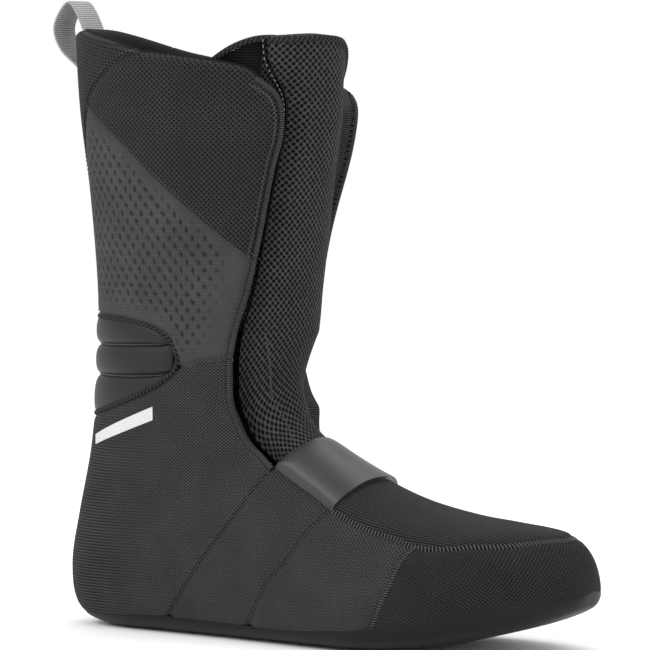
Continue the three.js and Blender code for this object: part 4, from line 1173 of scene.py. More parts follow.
def foam_layer(name: str, region: Region, total: float, motion: Motion, fill: float = 0.7,
               flare: float = 0.0) -> None:
    """The padding between a panel and its lining, stopping short of every edge.

    Args:
        name: the CAD node that it stands for.
        region: the panel's outline.
        total: the laminate's thickness.
        motion: how it moves.
        fill: how full it is.
        flare: how far its upper front corner stands out.
    """
    patch = Patch.over(region, 4.5 * MM, inset=0.035)
    thickness = total - FOAM_TOP - LINING - 0.4 * MM
    lay(f"{name}_core", patch, Sheet(FOAM_TOP, thickness, (Edge.OPEN,) * 4), FOAM, motion, [name], fill,
        flared(patch, flare))


@dataclass
class Foot:
    """The lower: sole, toe, vamp, band and side panels."""

    sole_thickness: float = 1.8 * MM
    sole_proud: float = 0.6 * MM
    sole_edge_drop: float = 0.0
    sole_cell: float = 2.6 * MM
    board_cell: float = 5 * MM
    board_edge_drop: float = 0.085
    sole_end_u: float = 10.97
    edge_limit: float = 0.985
    throat_flare: dict[str, float] = field(default_factory=lambda: {"lateral": 0.8 * MM, "medial": 6.0 * MM})
    throat_narrow: dict[str, float] = field(default_factory=lambda: {"lateral": 0.0, "medial": 0.06})

    def build(self) -> None:
        """Makes every piece of the lower."""
        self.sole()
        self.toe()
        self.vamp()
        self.band()
        for side in SIDES:
            self.side_panels(side)
            self.heel_quarter(side)

    def tray(self, from_u: float, to_u: float, drop: float, cell: float) -> Patch:
        """A patch over the bottom, from one side's edge to the other's.

        Args:
            from_u: its toe end.
            to_u: its heel end.
            drop: how far its edge lies inside the sole's edge.
            cell: the mesh size.

        Returns:
            The patch.
        """
        u = np.linspace(from_u, to_u, math.ceil(SOLE_LENGTH / cell))
        order = np.argsort(SOLE_EDGE.places[:, 0])
        edge = np.interp(u, SOLE_EDGE.places[order, 0], SOLE_EDGE.places[order, 1]) + drop
        edge = np.minimum(edge, self.edge_limit)[:, None]
        w = edge + (2 - 2 * edge) * shares(SOLE_GIRTH, cell)[None]
        return Patch(np.stack([np.broadcast_to(u[:, None], w.shape), w], axis=-1))

    def sole(self) -> None:
        """The cupped sole, the lasting board and the footbed."""
        rim = (Edge.ROLL, Edge.ROLL, Edge.OPEN, Edge.OPEN)
        cup = Sheet(-self.sole_proud, self.sole_thickness, rim, total=2.6 * MM)
        lay("outsole_coat", self.tray(0, self.sole_end_u, self.sole_edge_drop, self.sole_cell), cup,
            SOLE_COAT, WITH_FOOT, ["outsole"])
        flat = (Edge.OPEN,) * 4
        board = self.tray(0.8, 10.2, self.board_edge_drop, self.board_cell)
        lay("lasting_board_sheet", board, Sheet(2.7 * MM, 1.6 * MM, flat), BOARD, WITH_FOOT,
            ["lasting_board"])
        lay("footbed_pad", board, Sheet(5.2 * MM, 3.6 * MM, flat), BED_CLOTH, WITH_FOOT, ["footbed"], 0.5)

    def toe(self) -> None:
        """The toe cap and its padding."""
        top, low = VAMP_SEAM.between(4.2, 0), SOLE_EDGE.between(0, 4.75).back()
        region = Region(low.then(low.across_tip().back()), top.then(top.across_tip().back()),
                        TOE_SEAM.back(), TOE_SEAM.back().across_tip())
        patch = Patch.over(region)
        sheet = Sheet(edges=(Edge.SEAM, Edge.SEAM, Edge.OPEN, Edge.SEAM), puff=0.35 * MM)
        lay("toe_cap_mesh", patch, sheet, TOE_MESH, WITH_FOOT, ["toe_cap"])
        foam_layer("toe_foam", region, FOOT_TOTAL, WITH_FOOT)

    def vamp(self) -> None:
        """The stretch knit over the toes, whip-stitched to the side panels and the toe cap."""
        edge = VAMP_SEAM.between(6.2, 0.3)
        tip = edge(1.0)
        region = Region(BAND_FRONT, line(tip, tip * [1, -1]), edge, edge.mirrored())
        sheet = Sheet(edges=(Edge.SEAM, Edge.SEAM, Edge.OPEN, Edge.SEAM), puff=1.3 * MM)
        lay("vamp_knit", Patch.over(region), sheet, STRETCH_KNIT, WITH_FOOT, ["vamp"])
        foam_layer("vamp_foam", region, FOOT_TOTAL, WITH_FOOT)
        for side in SIDES:
            WHIP.sew(f"vamp_stitches_{side.label}", side.seam(VAMP_SEAM.between(6.15, 0.02)),
                     side.sign, WITH_FOOT)

    def band(self) -> None:
        """The padded satin band over the instep."""
        edge = THROAT.between(BAND_FRONT_U, BAND_REAR_U)
        region = Region(BAND_FRONT, BAND_REAR, edge, edge.mirrored())
        edges = (Edge.SEAM, Edge.SEAM, Edge.OPEN, Edge.ROLL)
        sheet = Sheet(-0.35 * MM, 4.6 * MM, edges, total=5.4 * MM, puff=3.4 * MM)
        lay("instep_band_satin", Patch.over(region), sheet, SATIN, WITH_FOOT, ["instep_band"], 0.5)

    def side_panels(self, side: Side) -> None:
        """The forefoot and midfoot panels of one side.

        Args:
            side: which side of the boot.
        """
        shapes = {
            "forefoot": Region(SOLE_EDGE.between(7.3, 4.75), VAMP_SEAM.between(6.2, 4.2),
                               BALL_SEAM.back(), TOE_SEAM.back()),
            "midfoot": Region(SOLE_EDGE.between(8.85, 7.3), THROAT.between(BAND_REAR_U, BAND_FRONT_U),
                              ARCH_SEAM.back(), BALL_SEAM.back()),
        }
        for name, shape in shapes.items():
            region = side.region(shape)
            sheet = Sheet(edges=(Edge.SEAM, Edge.SEAM, Edge.OPEN, Edge.SEAM), puff=0.3 * MM, cloth=wall_cloth)
            node = f"{name}_panel_{side.label}"
            lay(f"{name}_mesh_{side.label}", Patch.over(region), sheet, QUARTER_MESH, WITH_FOOT, [node])
            foam_layer(f"{name}_foam_{side.label}", region, FOOT_TOTAL, WITH_FOOT)
        OVERLOCK.sew(f"toe_seam_stitches_{side.label}", side.seam(TOE_SEAM), side.sign, WITH_FOOT)
        for name, seam in (("ball", BALL_SEAM), ("arch", ARCH_SEAM)):
            RUNNING.sew(f"{name}_seam_stitches_{side.label}", side.seam(seam), side.sign, WITH_FOOT)

    def heel_quarter(self, side: Side) -> None:
        """The quarter from the arch round to the back of the heel.

        Args:
            side: which side of the boot.
        """
        low = SOLE_EDGE.between(8.85, 11).then(line((11, 0.96), (11.05, 1)))
        edge = THROAT.between(BAND_REAR_U, ANKLE_U)
        run = np.clip((edge.places[:, :1] - BAND_REAR_U) / THROAT_BOW, 0, 1)
        narrow = self.throat_narrow[side.label] * np.sin(math.pi * run)
        edge = Seam(edge.places - np.hstack([np.zeros_like(narrow), narrow]))
        left = ARCH_SEAM.back().then(edge)
        region = side.region(Region(low, ANKLE_LINE, left, line((11.05, 1), (14.7, 1))))
        sheet = Sheet(edges=(Edge.SEAM, Edge.SEAM, Edge.OPEN, Edge.SEAM), puff=0.3 * MM, cloth=wall_cloth)
        patch = Patch.over(region)
        flare = self.throat_flare[side.label]
        u, w = patch.places[..., 0], np.abs(patch.places[..., 1])
        bow = np.sin(math.pi * np.clip((u - BAND_REAR_U) / THROAT_BOW, 0, 1))
        lay(f"heel_mesh_{side.label}", patch, sheet, QUARTER_MESH, WITH_FOOT, [f"heel_quarter_{side.label}"],
            extra=-flare * bow * np.exp(-((np.maximum(w - 0.2, 0) / 0.12) ** 2)))
        foam_layer(f"heel_foam_{side.label}", region, FOOT_TOTAL, WITH_FOOT)
        throat = side.seam(edge)
        run = np.clip((throat.sampled(40)[:, 0] - BAND_REAR_U) / THROAT_BOW, 0, 1)
        binding(f"throat_tape_{side.label}", throat, -side.sign, FOOT_TOTAL, WITH_FOOT,
                f"throat_binding_{side.label}", sink=-flare * np.sin(math.pi * run))
        rise = flare * 0.9 * np.sin(math.pi * run)
        row = replace(RUNNING, offset=4.0 * MM)
        row.sew(f"throat_stitches_{side.label}", throat, -side.sign, WITH_FOOT, rise)


@dataclass
class AchillesRibs:
    """Three padded ribs over the tendon, quilted in their valleys."""

    depth: float = 7.0 * MM
    valley: float = 2.6 * MM
    crown: float = 0.9 * MM
    border: float = 1.3 * MM
    cord: float = 2.3 * MM

    def build(self) -> None:
        """Makes the ribs and the stitches in their valleys."""
        under = curve((14.83, 0.49), (14.7, 0.56), (14.65, 0.685), (14.7, 0.85), (14.7, 1))
        low_valley, high_valley = RIB_VALLEYS
        tip = line((15.0, RIB_TIP), low_valley(0.06))
        tip_top = line((15.6, RIB_TIP), (15.7, 0.47))
        heel_tip = line((14.87, 0.474), under(0.0)).then(under)
        heel_top = line((14.97, 0.46), low_valley(0.03)).then(low_valley.part(0.03, 1))
        shapes = (("rib_lower", heel_tip, heel_top, 0.0),
                  ("rib_middle", tip.then(low_valley.part(0.06, 1)), tip_top.then(high_valley), 0.5),
                  ("rib_upper", high_valley, RIB_TOP, 2 / 3))
        for name, bottom, top, share in shapes:
            self.rib(name, bottom, top, share)
        self.backing()
        self.edging(under)
        for name, seam, body in (("low", low_valley, "rib_lower"), ("high", high_valley, "rib_middle")):
            full = seam.part(0.05, 1).then(seam.part(0.05, 1).wrapped().back())
            motion = self.motion(body, full, full, 0.999)
            VALLEY.sew(f"valley_stitches_{name}", full, 1.0, motion)

    def edging(self, under: Seam) -> None:
        """The corded edge round the ribs.

        Args:
            under: the lower edge of the lowest rib.
        """
        tip = curve((14.83, 0.49), (14.92, 0.466), (15.1, 0.447), (15.35, 0.443), (15.62, 0.452),
                    (15.83, 0.475))
        half = under.back().then(tip, RIB_TOP)
        ring = half.then(half.wrapped().back())
        count = int(ring.length / (1.6 * MM))
        here, inward, _, normal = edge_frame(ring, 1.0, count)
        piece = sweep(here - normal * 0.9 * MM, inward, normal, self.cord, self.cord * 1.2, 2.2, 12)
        finish_piece(piece, "rib_edging", ROPE_TAPE, WITH_SHAFT)

    def backing(self) -> None:
        """The stretch cloth behind the ribs, which closes the gaps as they fan out."""
        places = ((14.5, 0.425), (14.5, 1.575), (16.6, 0.455), (16.6, 1.545))
        region = Region(line(places[0], places[1]), line(places[2], places[3]), line(places[0], places[2]),
                        line(places[1], places[3]))
        sheet = Sheet(self.depth + 0.3 * MM, 0.6 * MM, (Edge.OPEN,) * 4)
        lay("rib_backing", Patch.over(region, 3 * MM), sheet, STRETCH_KNIT, WITH_SHAFT)

    def motion(self, body: str, bottom: Seam, top: Seam, share: float) -> Motion:
        """How a rib between two lines moves.

        Args:
            body: the rib's body.
            bottom: its lower line.
            top: its upper line.
            share: share of its angle by which its lower edge turns.

        Returns:
            The motion.
        """
        low, high = (float(np.mean(LAST.at(s.sampled())[0][:, 2])) for s in (bottom, top))
        return fan_motion(body, min(low, high - 2 * MM), high, share)

    def rib(self, name: str, bottom: Seam, top: Seam, share: float) -> None:
        """One rib, round across its height.

        Args:
            name: the rib's body and CAD node.
            bottom: its lower line, to the back centre.
            top: its upper line, to the back centre.
            share: share of its angle by which its lower edge turns.
        """
        ring = [s.then(s.wrapped().back()) for s in (bottom, top)]
        left = line(bottom(0.0), top(0.0))
        region = Region(ring[0], ring[1], left, left.wrapped())
        s, t = shares(ring[0].length, 2.2 * MM), np.linspace(0, 1, 19)
        patch = Patch(region.places(s, t))
        left_run, right_run, low_run, high_run = patch.runs()
        half = np.maximum((low_run + high_run) / 2, 1e-4)
        across = 1 - np.clip(np.minimum(low_run, high_run) / half, 0, 1)
        ends = 1 - np.clip(np.minimum(left_run, right_run) / (5 * MM), 0, 1)
        hump = np.sqrt(np.clip(1 - across**2.4, 0, 1)) * np.sqrt(np.clip(1 - ends**2, 0, 1))
        rim = np.full_like(hump, self.valley)
        outer = high_run if name == "rib_upper" else low_run
        if name != "rib_middle":
            rim = self.border + (self.valley - self.border) * smoothstep(outer, 3 * MM, 9 * MM)
        rim = self.border + (rim - self.border) * smoothstep(np.minimum(left_run, right_run), 3 * MM, 9 * MM)
        depth = rim - (rim + self.crown) * hump
        sheet = Sheet(0.0, self.depth - self.valley, (Edge.OPEN,) * 4)
        lay(f"{name}_pad", patch, sheet, LEATHERETTE, self.motion(name, bottom, top, share), [name],
            0.8, depth)


@dataclass
class Shaft:
    """The upper: side panels, spine with its tab, padding, linings and stretch wings."""

    dimple_pitch: float = 3.1 * MM  # half the distance between dimples of one row
    dimple_depth: float = 0.5 * MM
    gusset: float = 2.0 * MM
    wing_split: float = 0.24  # share of the wing's top edge that is tongue mesh
    wing_depth: float = 2.6 * MM  # how much deeper the wing runs under the tongue
    wing_zone: tuple[float, float] = (0.17, 0.26)  # w over which it rises out again
    wing_drop: dict[str, float] = field(default_factory=lambda: {"lateral": 0.0, "medial": 0.35})

    def build(self) -> None:
        """Makes every piece of the shaft."""
        self.spine()
        for side in SIDES:
            self.side_panel(side)
            self.upper_side(side)
            self.padding(side)
            self.stretch_wing(side)

    def dimples(self, patch: Patch) -> np.ndarray:
        """Pressed dimples from 0 to 1, staggered, fading out towards the edges; the same share paints shade
        into the jersey's colour.

        Args:
            patch: the panel.

        Returns:
            How deep each point is pressed, which is also how much painted shade its colour gets.
        """
        left, right, low, high = patch.runs()
        cloth = shaft_cloth(patch.places, patch.points) * MM / self.dimple_pitch
        wave = np.cos(math.pi * cloth[..., 0]) * np.cos(math.pi * cloth[..., 1] * 0.8)
        fade = smoothstep(left, 8 * MM, 26 * MM) * smoothstep(right, 4 * MM, 16 * MM)
        fade = fade * smoothstep(low, 3 * MM, 14 * MM) * smoothstep(high, 1 * MM, 8 * MM)
        return smoothstep(wave, 0.3, 0.95) * fade

    def side_panel(self, side: Side) -> None:
        """The dimpled jersey panel between the ankle line and the diagonal seam.

        Args:
            side: which side of the boot.
        """
        low = CUFF_LINE.between(14.9, 16.42).then(line(CUFF_TURN, (16.49, 0.86)))
        region = side.region(Region(low, DIAGONAL, CUFF_FRONT, SPINE_EDGE))
        patch = Patch.over(region, FINE_CELL)
        dimple_with_painted_shade = self.dimples(patch)
        sheet = Sheet(edges=(Edge.BOUND, Edge.SEAM, Edge.SEAM, Edge.SEAM), puff=0.3 * MM)
        name = f"side_jersey_{side.label}"
        depth = sheet.depths(patch) + dimple_with_painted_shade * self.dimple_depth
        piece = drape(patch.points - patch.normals * depth[..., None], patch.normals, SKIN,
                      shaft_cloth(patch.places, patch.points))
        count = len(piece.data.vertices)
        value = np.zeros(count, np.float32)
        flat = dimple_with_painted_shade.ravel()
        value[:min(count, flat.size)] = flat[:count]
        # the dimple share goes to the material as the mask of its painted shade
        piece.data.attributes.new("dimple_with_painted_shade", "FLOAT", "POINT").data.foreach_set("value", value)
        finish_piece(piece, name, JERSEY, WITH_SHAFT, [f"side_panel_{side.label}"])
        label = side.label
        OVERLOCK.sew(f"cuff_stitches_{label}", side.seam(low), side.sign, WITH_SHAFT)
        front = side.seam(CUFF_FRONT)
        binding(f"cuff_tape_{label}", side.seam(CUFF_TAPE), -side.sign, SHAFT_TOTAL, WITH_SHAFT,
                f"shaft_binding_{label}")
        for k, offset in enumerate((4.0, 6.2)):
            row = replace(RUNNING, offset=offset * MM)
            row.sew(f"cuff_front_stitches_{k}_{label}", front, -side.sign, WITH_SHAFT)

    def upper_side(self, side: Side) -> None:
        """The coarse mesh panel behind the flap's fold.

        Args:
            side: which side of the boot.
        """
        low = DIAGONAL.between(17.34, 19.05)
        region = Region(low, line(FOLD(1.0), TAB_SEAM(UPPER_SIDE_END)), line(low(0.0), FOLD(0.0)).then(FOLD),
                        TAB_SEAM.part(0, UPPER_SIDE_END))
        sheet = Sheet(edges=(Edge.OPEN, Edge.SEAM, Edge.SEAM, Edge.OPEN), puff=0.3 * MM, cloth=shaft_cloth)
        label = side.label
        lay(f"upper_side_mesh_{label}", Patch.over(side.region(region)), sheet, COARSE_MESH, WITH_SHAFT,
            [f"upper_side_{label}"])
        replace(RUNNING, offset=-1.8 * MM).sew(f"diagonal_stitches_{label}", side.seam(DIAGONAL), -side.sign,
                                               WITH_SHAFT)

    def padding(self, side: Side) -> None:
        """The side's padding and lining.

        Args:
            side: which side of the boot.
        """
        low = CUFF_LINE.between(14.9, 16.42).then(line(CUFF_TURN, PAD_CORNER))
        top = TAB_TOP.sampled(200)
        high = Seam(top[top[:, 1] <= PAD_TOP_W])
        shape = Region(low, high, CUFF_FRONT.then(FOLD), line(low(1.0), high(1.0)))
        region = side.region(shape)
        foam_layer(f"side_foam_{side.label}", region, SHAFT_TOTAL, WITH_SHAFT)
        lining = Sheet(SHAFT_TOTAL - LINING, LINING, (Edge.OPEN, Edge.OPEN, Edge.OPEN, Edge.ROLL), inner=True)
        lay(f"side_lining_cloth_{side.label}", Patch.over(region, 3.5 * MM), lining, LINING_CLOTH, WITH_SHAFT,
            [f"side_lining_{side.label}"])

    def spine(self) -> None:
        """The back strip with its raised tab, padded and lined."""
        edge = SPINE_EDGE.then(TAB_SEAM)
        start = edge(0.0)
        top = TAB_TOP.then(TAB_TOP.wrapped().back())
        outline = Region(line(start, [start[0], 2 - start[1]]), top, edge, edge.wrapped())
        sheet = Sheet(edges=(Edge.SEAM, Edge.SEAM, Edge.SEAM, Edge.ROLL), puff=0.3 * MM, cloth=shaft_cloth)
        lay("spine_mesh_panel", Patch.over(outline), sheet, SPINE_MESH, WITH_SHAFT, ["spine_panel"])
        inner = TAB_TOP.sampled(200)
        inner = Seam(inner[inner[:, 1] >= PAD_TOP_W])
        corner, high = np.array(PAD_CORNER), inner(0.0)
        pad = Region(line(corner, [corner[0], 2 - corner[1]]), inner.then(inner.wrapped().back()),
                     line(corner, high), line([corner[0], 2 - corner[1]], [high[0], 2 - high[1]]))
        foam_layer("spine_foam", pad, SHAFT_TOTAL, WITH_SHAFT)
        lining = Sheet(SHAFT_TOTAL - LINING, LINING, (Edge.OPEN, Edge.OPEN, Edge.OPEN, Edge.ROLL), inner=True)
        lay("spine_lining_cloth", Patch.over(pad, 3.5 * MM), lining, LINING_CLOTH, WITH_SHAFT,
            ["spine_lining"])
        for side in SIDES:
            row = replace(RUNNING, offset=1.9 * MM)
            row.sew(f"spine_stitches_{side.label}", side.seam(edge), -side.sign, WITH_SHAFT)

    def stretch_wing(self, side: Side) -> None:
        """The knitted wing between the tongue and the shaft, with its bound top edge.

        Args:
            side: which side of the boot.
        """
        drop = self.wing_drop[side.label]
        front = curve((15.6, 0.2), (16.4, 0.19), (17.3, 0.165), (18.4, 0.14), (19.1, 0.135), (19.35, 0.145),
                      (19.86 - drop, 0.165))
        top = Seam(curve((19.86, 0.165), (19.87, 0.2), (19.85, 0.25), (19.74, 0.31), (19.5, 0.38)).places
                   - [drop, 0])
        back = line((15.6, 0.33), (19.5 - drop, 0.38))
        split = self.wing_split
        seam = line((15.6, 0.235), top(split))
        mesh_zone = Region(line((15.6, 0.2), (15.6, 0.235)), top.part(0, split), front, seam)
        knit_zone = Region(line((15.6, 0.235), (15.6, 0.33)), top.part(split, 1), seam, back)
        zones = (("tongue_side_mesh", SPACER_MESH, mesh_zone, []),
                 ("stretch_wing", WING_KNIT, knit_zone, [f"tongue_gusset_{side.label}"]))
        for name, finish, region, nodes in zones:
            patch = Patch.over(side.region(region), 3 * MM)
            under = 1 - smoothstep(np.abs(patch.places[..., 1]), *self.wing_zone)
            sheet = Sheet(SHAFT_TOTAL + 0.9 * MM, self.gusset, (Edge.OPEN,) * 4, cloth=shaft_cloth)
            lay(f"{name}_{side.label}", patch, sheet, finish, WITH_SHAFT, nodes,
                extra=self.wing_depth * under)
        under = 1 - smoothstep(np.abs(top.sampled(40)[:, 1]), *self.wing_zone)
        sinks = SHAFT_TOTAL - 2.2 * MM + self.wing_depth * under
        tape = side.seam(top)
        binding(f"wing_tape_{side.label}", tape, side.sign, self.gusset + 3 * MM, WITH_SHAFT, None,
                3.0 * MM, sinks, ROPE_TAPE)


@dataclass
class Flaps:
    """The two front flaps of the shaft, which fold outwards."""

    bend: float = 0.016
    flare: dict[str, float] = field(default_factory=lambda: {"lateral": 0.3 * MM, "medial": 3.0 * MM})

    def build(self) -> None:
        """Makes both flaps."""
        for side in SIDES:
            self.flap(side)

    def motion(self, side: Side) -> Motion:
        """The motion across a flap's fold; the flap is not bent here.

        Args:
            side: which side of the boot.

        Returns:
            The motion.
        """
        joint = next(j for j in frame["joints"] if j["name"] == f"flap_{side.label}_open")
        axis = Vector(joint["axis"]).normalized()
        place = Vector(LAST.at(side.seam(FOLD)(0.5))[0])
        front = Vector(LAST.at(side.seam(FLAP_FRONT)(0.5))[0])
        away = front - place
        away = (away - axis * away.dot(axis)).normalized()
        return Motion("shaft", f"flap_{side.label}", tuple(place), tuple(place + away * self.bend))

    def flap(self, side: Side) -> None:
        """One flap: face, padding, lining, edge tape and its zigzag row.

        Args:
            side: which side of the boot.
        """
        motion, label = self.motion(side), side.label
        region = side.region(Region(line(FLAP_FRONT(0.0), FOLD(0.0)), FLAP_TOP, FLAP_FRONT, FOLD))
        face = Sheet(edges=(Edge.BOUND, Edge.OPEN, Edge.OPEN, Edge.ROLL), puff=0.3 * MM, cloth=shaft_cloth)
        flare = self.flare[label]
        patch = Patch.over(region)
        lay(f"flap_mesh_{label}", patch, face, COARSE_MESH, motion, [f"flap_face_{label}"],
            extra=flared(patch, flare))
        foam_layer(f"flap_foam_{label}", region, SHAFT_TOTAL, motion, flare=flare)
        lining = Sheet(SHAFT_TOTAL - LINING, LINING, (Edge.OPEN, Edge.OPEN, Edge.OPEN, Edge.ROLL), inner=True)
        patch = Patch.over(region, 3.5 * MM)
        lay(f"flap_lining_cloth_{label}", patch, lining, LINING_CLOTH, motion, [f"flap_lining_{label}"],
            extra=flared(patch, flare))
        front = side.seam(FLAP_FRONT)
        binding(f"flap_tape_{label}", front, -side.sign, SHAFT_TOTAL, motion, f"flap_binding_{label}",
                sink=-flare * smoothstep(np.linspace(0, 1, 40), 0.05, 0.6))
        rise = flare * smoothstep(np.linspace(0, 1, 40), 0.05, 0.6)
        ZIGZAG.sew(f"flap_zigzag_{label}", front, -side.sign, motion, rise)


@dataclass
class Tongue:
    """The padded tongue and its root in the throat."""

    foam: float = 5.5 * MM

    def build(self) -> None:
        """Makes the tongue, its root and their seams."""
        self.upper()
        self.root()

    @staticmethod
    def sink(columns: np.ndarray) -> np.ndarray:
        """Extra depth across the tongue, from 0 in the middle, rolling over at its edges."""
        out = np.abs(2 * columns - 1)
        return TONGUE_SINK * out**2 + 3.2 * MM * smoothstep(out, 0.72, 1.0)

    def layers(self, name: str, region: Region, motion: Motion, extra_depth: Callable, lined: bool) -> None:
        """The face, padding and lining over one outline.

        Args:
            name: the start of its CAD nodes' names.
            region: the outline.
            motion: how it moves.
            extra_depth: the depth at shares across and along the outline.
            lined: whether it has a lining.
        """
        def laid(label: str, depth: float, thickness: float, finish: Finish, fill: float | None,
                 cell: float) -> None:
            """One layer.

            Args:
                label: the CAD node that it stands for.
                depth: how deep its outer face lies.
                thickness: its thickness.
                finish: its surface.
                fill: how full it is, if it is padded.
                cell: the mesh size.
            """
            across = max(region.low.length, region.high.length)
            s, t = shares(across, cell), shares(region.left.length, cell)
            patch = Patch(region.places(s, t))
            extra = self.sink(s)[None] + extra_depth(s[None], t[:, None])
            sheet = Sheet(depth, thickness, (Edge.OPEN,) * 4, TONGUE_TOTAL, cloth=tongue_cloth)
            lay(f"{label}_layer", patch, sheet, finish, motion, [label], fill, extra)

        laid(f"{name}_face", 0.0, SKIN, SPACER_MESH, None, 2.4 * MM)
        laid(f"{name}_foam", 2.0 * MM, self.foam, FOAM, 0.7, 4.5 * MM)
        if lined:
            laid(f"{name}_lining", TONGUE_TOTAL - LINING, LINING, LINING_CLOTH, None, 3.5 * MM)

    @staticmethod
    def lean(s: np.ndarray, t: np.ndarray) -> np.ndarray:
        """Extra depth of the upper tongue, which leans in towards its inner top corner."""
        return 6.0 * MM * smoothstep(s, 0.35, 1.0) * smoothstep(t, 0.3, 0.9)

    def upper(self) -> None:
        """The free part of the tongue."""
        edge = TONGUE_EDGE_HIGH
        inner = edge.mirrored().part(0, 0.82)
        high = curve(tuple(edge(1.0)), (19.96, 0.12), (19.97, 0.05), (19.94, 0.0), (19.85, -0.06),
                     (19.66, -0.12), tuple(inner(1.0)))
        region = Region(line(edge(0.0), inner(0.0)), high, edge, inner)
        self.layers("tongue", region, WITH_TONGUE, self.lean, True)
        share = np.linspace(0, 1, 40)
        sinks = self.sink(share) + self.lean(share, np.ones(1)) - 0.2 * MM
        binding("tongue_tape", high, 1.0, TONGUE_TOTAL - 1.2 * MM, WITH_TONGUE, "tongue_binding", 3.4 * MM,
                sinks, ROPE_TAPE)
        side = replace(RUNNING, offset=2.4 * MM, lift=-6.0 * MM, length=1.8 * MM, pitch=2.6 * MM,
                       width=0.6 * MM, finish=LIGHT_THREAD)
        side.sew("tongue_side_stitches", edge.part(0.72, 0.99), -1.0, WITH_TONGUE)

    def root(self) -> None:
        """The part that lies in the throat."""
        low = curve((8.1, 0.18), (7.95, 0.09), (TONGUE_ROOT_U, 0), (7.95, -0.09), (8.1, -0.18))
        edge = TONGUE_EDGE_LOW
        region = Region(low, line(edge(1.0), edge.mirrored()(1.0)), edge, edge.mirrored())

        def throat(s: np.ndarray, t: np.ndarray) -> np.ndarray:
            """Extra depth in the throat, more towards the inner side."""
            dip = np.sin(math.pi * np.clip(t * 1.1, 0, 1))
            return (THROAT_SINK + 3.0 * MM * smoothstep(s, 0.3, 1.0)) * dip

        self.layers("tongue_root", region, WITH_ROOT, throat, False)
        for side in SIDES:
            seam = side.seam(TONGUE_SEAM)
            places = seam.sampled(60)
            share = np.interp(places[:, 0], edge.places[:, 0], np.linspace(0, 1, len(edge.places)))
            width = np.interp(places[:, 0], edge.places[:, 0], edge.places[:, 1])
            s = (1 - places[:, 1] / width) / 2
            rise = -self.sink(s) - throat(s, share)
            row = replace(ZIGZAG, offset=0.0, lift=0.1 * MM, length=1.9 * MM, width=0.6 * MM)
            row.sew(f"tongue_zigzag_{side.label}", seam, side.sign, WITH_ROOT, rise)


@dataclass
class PullLoop:
    """The webbing loop at the back of the tab."""

    width: float = 18 * MM
    thickness: float = 1.4 * MM
    slack: float = 3.0 * MM  # how far the soft loop stands out past its solid

    def build(self) -> None:
        """Makes the stitched tail and the free loop."""
        self.tail()
        self.loop()
        self.mark()

    def strip(self, name: str, path: np.ndarray, motion: Motion, node: str) -> None:
        """A strip of webbing along a path in the middle plane.

        Args:
            name: the piece's name.
            path: its centre line.
            motion: how it moves.
            node: the CAD node that it stands for.
        """
        tangent = unit(np.gradient(path, axis=0))
        across = np.tile([0.0, 1.0, 0.0], (len(path), 1))
        out = unit(np.cross(tangent, across))
        piece = sweep(path, across, out, self.width, self.thickness, 5.0, 28)
        finish_piece(piece, name, WEBBING, motion, [node])

    def tail(self) -> None:
        """The end that is sewn to the back of the shaft."""
        low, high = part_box("loop_tail")
        u = np.linspace(18.96, 19.45, 24)
        points, normals = LAST.at(np.stack([u, np.ones_like(u)], axis=-1))
        path = points + normals * (self.thickness / 2 + 0.7 * MM)
        path[:, 1] = (low.y + high.y) / 2
        self.strip("loop_tail_webbing", path, Motion("shaft"), "loop_tail")

    def loop(self) -> None:
        """The free loop, through the middle of its CAD solid."""
        low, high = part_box("pull_loop")
        tab = LAST.at(np.array([19.97, 1.0]))[0]
        base = LAST.at(np.array([19.45, 1.0]))[0]
        reach, rise = tab[0] - low.x + self.slack, high.z - tab[2] + self.slack
        half = self.thickness / 2
        out_x = base[0] - 0.9 * MM - half
        route = np.array([
            [out_x, base[2] + 0.9 * MM], [out_x - reach * 0.3, base[2] + (tab[2] - base[2]) * 0.3],
            [tab[0] - reach * 0.8, base[2] + (tab[2] - base[2]) * 0.75],
            [tab[0] - reach + half, tab[2] + rise * 0.35], [tab[0] - reach * 0.6, tab[2] + rise - half],
            [tab[0] - reach * 0.32, tab[2] + rise * 0.7], [tab[0] - 0.6 * MM, tab[2] + 0.4 * MM]])
        p = np.vstack([route[:1], route, route[-1:]])
        f = np.linspace(0, 1, 11)[:-1, None]
        fine = np.vstack([0.5 * (2 * b + (c - a) * f + (2 * a - 5 * b + 4 * c - d) * f**2
                                 + (3 * b - a - 3 * c + d) * f**3)
                          for a, b, c, d in zip(p, p[1:], p[2:], p[3:])] + [p[-1:]])
        path = np.stack([fine[:, 0], np.zeros(len(fine)), fine[:, 1]], axis=-1)
        hinge = joint_place("pull_loop_swing")
        motion = Motion("shaft", "pull_loop", (hinge.x, 0, tab[2]), (hinge.x, 0, tab[2] + rise * 0.8))
        self.strip("pull_loop_webbing", path, motion, "pull_loop")

    def mark(self) -> None:
        """The plain light bar on the heel."""
        corners = {"a": (14.02, 0.79), "b": (14.22, 0.8), "c": (13.9, 0.52), "d": (14.25, 0.525)}
        region = Region(line(corners["a"], corners["c"]), line(corners["b"], corners["d"]),
                        line(corners["a"], corners["b"]), line(corners["c"], corners["d"]))
        sheet = Sheet(-0.5 * MM, 0.3 * MM, (Edge.OPEN,) * 4)
        lay("heel_bar", Patch.over(region, 2 * MM), sheet, PRINT, WITH_FOOT, ["heel_mark"])


# ---- Studio --------------------------------------------------------------------------------


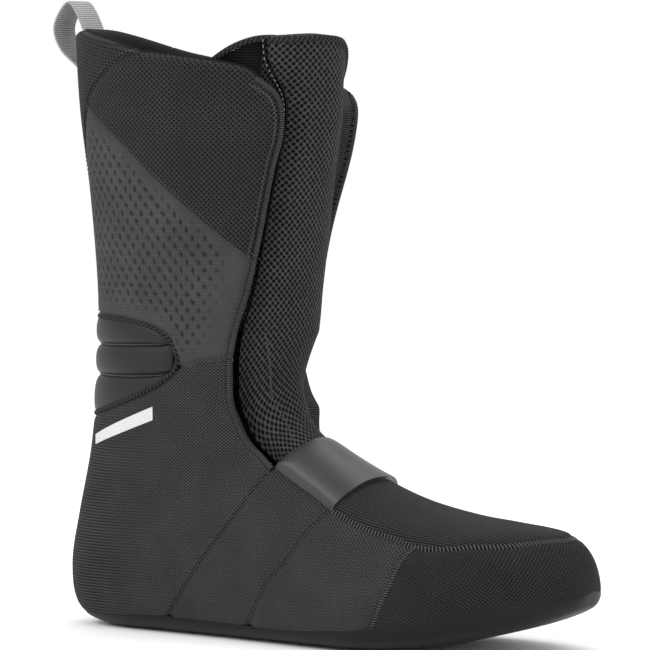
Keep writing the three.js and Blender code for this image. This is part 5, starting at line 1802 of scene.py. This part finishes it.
@dataclass
class Studio:
    """Pale floor, soft light and the camera."""

    azimuth: float = 32.0
    elevation: float = 3.0
    distance: float = 2.0
    lens: float = 229.0
    aim: tuple[float, float, float] = (0.010, 0.0, 0.145)
    shift_right: float = 0.97 * MM
    shift_up: float = 6.28 * MM

    def build(self) -> None:
        """Makes the floor, the lights and the camera."""
        self.camera()
        self.floor()
        self.lights()

    def directions(self) -> tuple[Vector, Vector, Vector]:
        """Towards the camera, right and up.

        Returns:
            Three unit vectors.
        """
        a, e = math.radians(self.azimuth), math.radians(self.elevation)
        back = Vector((math.sin(a) * math.cos(e), -math.cos(a) * math.cos(e), math.sin(e)))
        right = Vector((math.cos(a), math.sin(a), 0))
        return back, right, back.cross(right)

    def camera(self) -> None:
        """The camera."""
        back, right, up = self.directions()
        data = bpy.data.cameras.new("camera")
        data.lens, data.sensor_width = self.lens, 36.0
        camera = bpy.data.objects.new("camera", data)
        target = Vector(self.aim) + right * self.shift_right + up * self.shift_up
        camera.location = target + back * self.distance
        camera.rotation_mode = "QUATERNION"
        camera.rotation_quaternion = (-back).to_track_quat("-Z", "Y")
        bpy.context.scene.collection.objects.link(camera)
        bpy.context.scene.camera = camera

    def floor(self) -> None:
        """A plain pale floor."""
        bpy.ops.object.select_all(action="DESELECT")
        bpy.ops.mesh.primitive_plane_add(size=12, location=(0, 0, -0.0002))
        floor = bpy.context.active_object
        floor.name = "floor"
        made = bpy.data.materials.new("pale_floor")
        made.use_nodes = True
        shader = made.node_tree.nodes["Principled BSDF"]
        shader.inputs["Base Color"].default_value = linear("#ffffff")
        shader.inputs["Roughness"].default_value = 0.9
        floor.data.materials.append(made)

    def lights(self) -> None:
        """Three large soft lights and a pale surrounding."""
        world = bpy.data.worlds.new("surrounding")
        world.use_nodes = True
        world.node_tree.nodes["Background"].inputs["Color"].default_value = linear("#ffffff")
        world.node_tree.nodes["Background"].inputs["Strength"].default_value = 1.0
        bpy.context.scene.world = world
        bpy.context.scene.view_settings.view_transform = "Standard"
        lamps = (("key", (-0.7, -1.5, 1.3), 1.0, 17), ("fill", (1.7, -0.9, 0.8), 1.2, 6),
                 ("top", (0.2, 0.5, 1.9), 1.2, 12))
        for name, place, size, power in lamps:
            data = bpy.data.lights.new(name, "AREA")
            data.size, data.energy = size, power
            light = bpy.data.objects.new(name, data)
            light.location = place
            light.rotation_mode = "QUATERNION"
            light.rotation_quaternion = (Vector((0, 0, 0.14)) - Vector(place)).to_track_quat("-Z", "Y")
            bpy.context.scene.collection.objects.link(light)


def main() -> None:
    """Builds the liner's looks round the frame."""
    logging.basicConfig(level=logging.INFO, format="%(name)s %(message)s")
    Studio().build()
    for assembly in (Foot(), AchillesRibs(), Shaft(), Flaps(), Tongue(), PullLoop()):
        assembly.build()


if __name__ == "__main__":
    main()
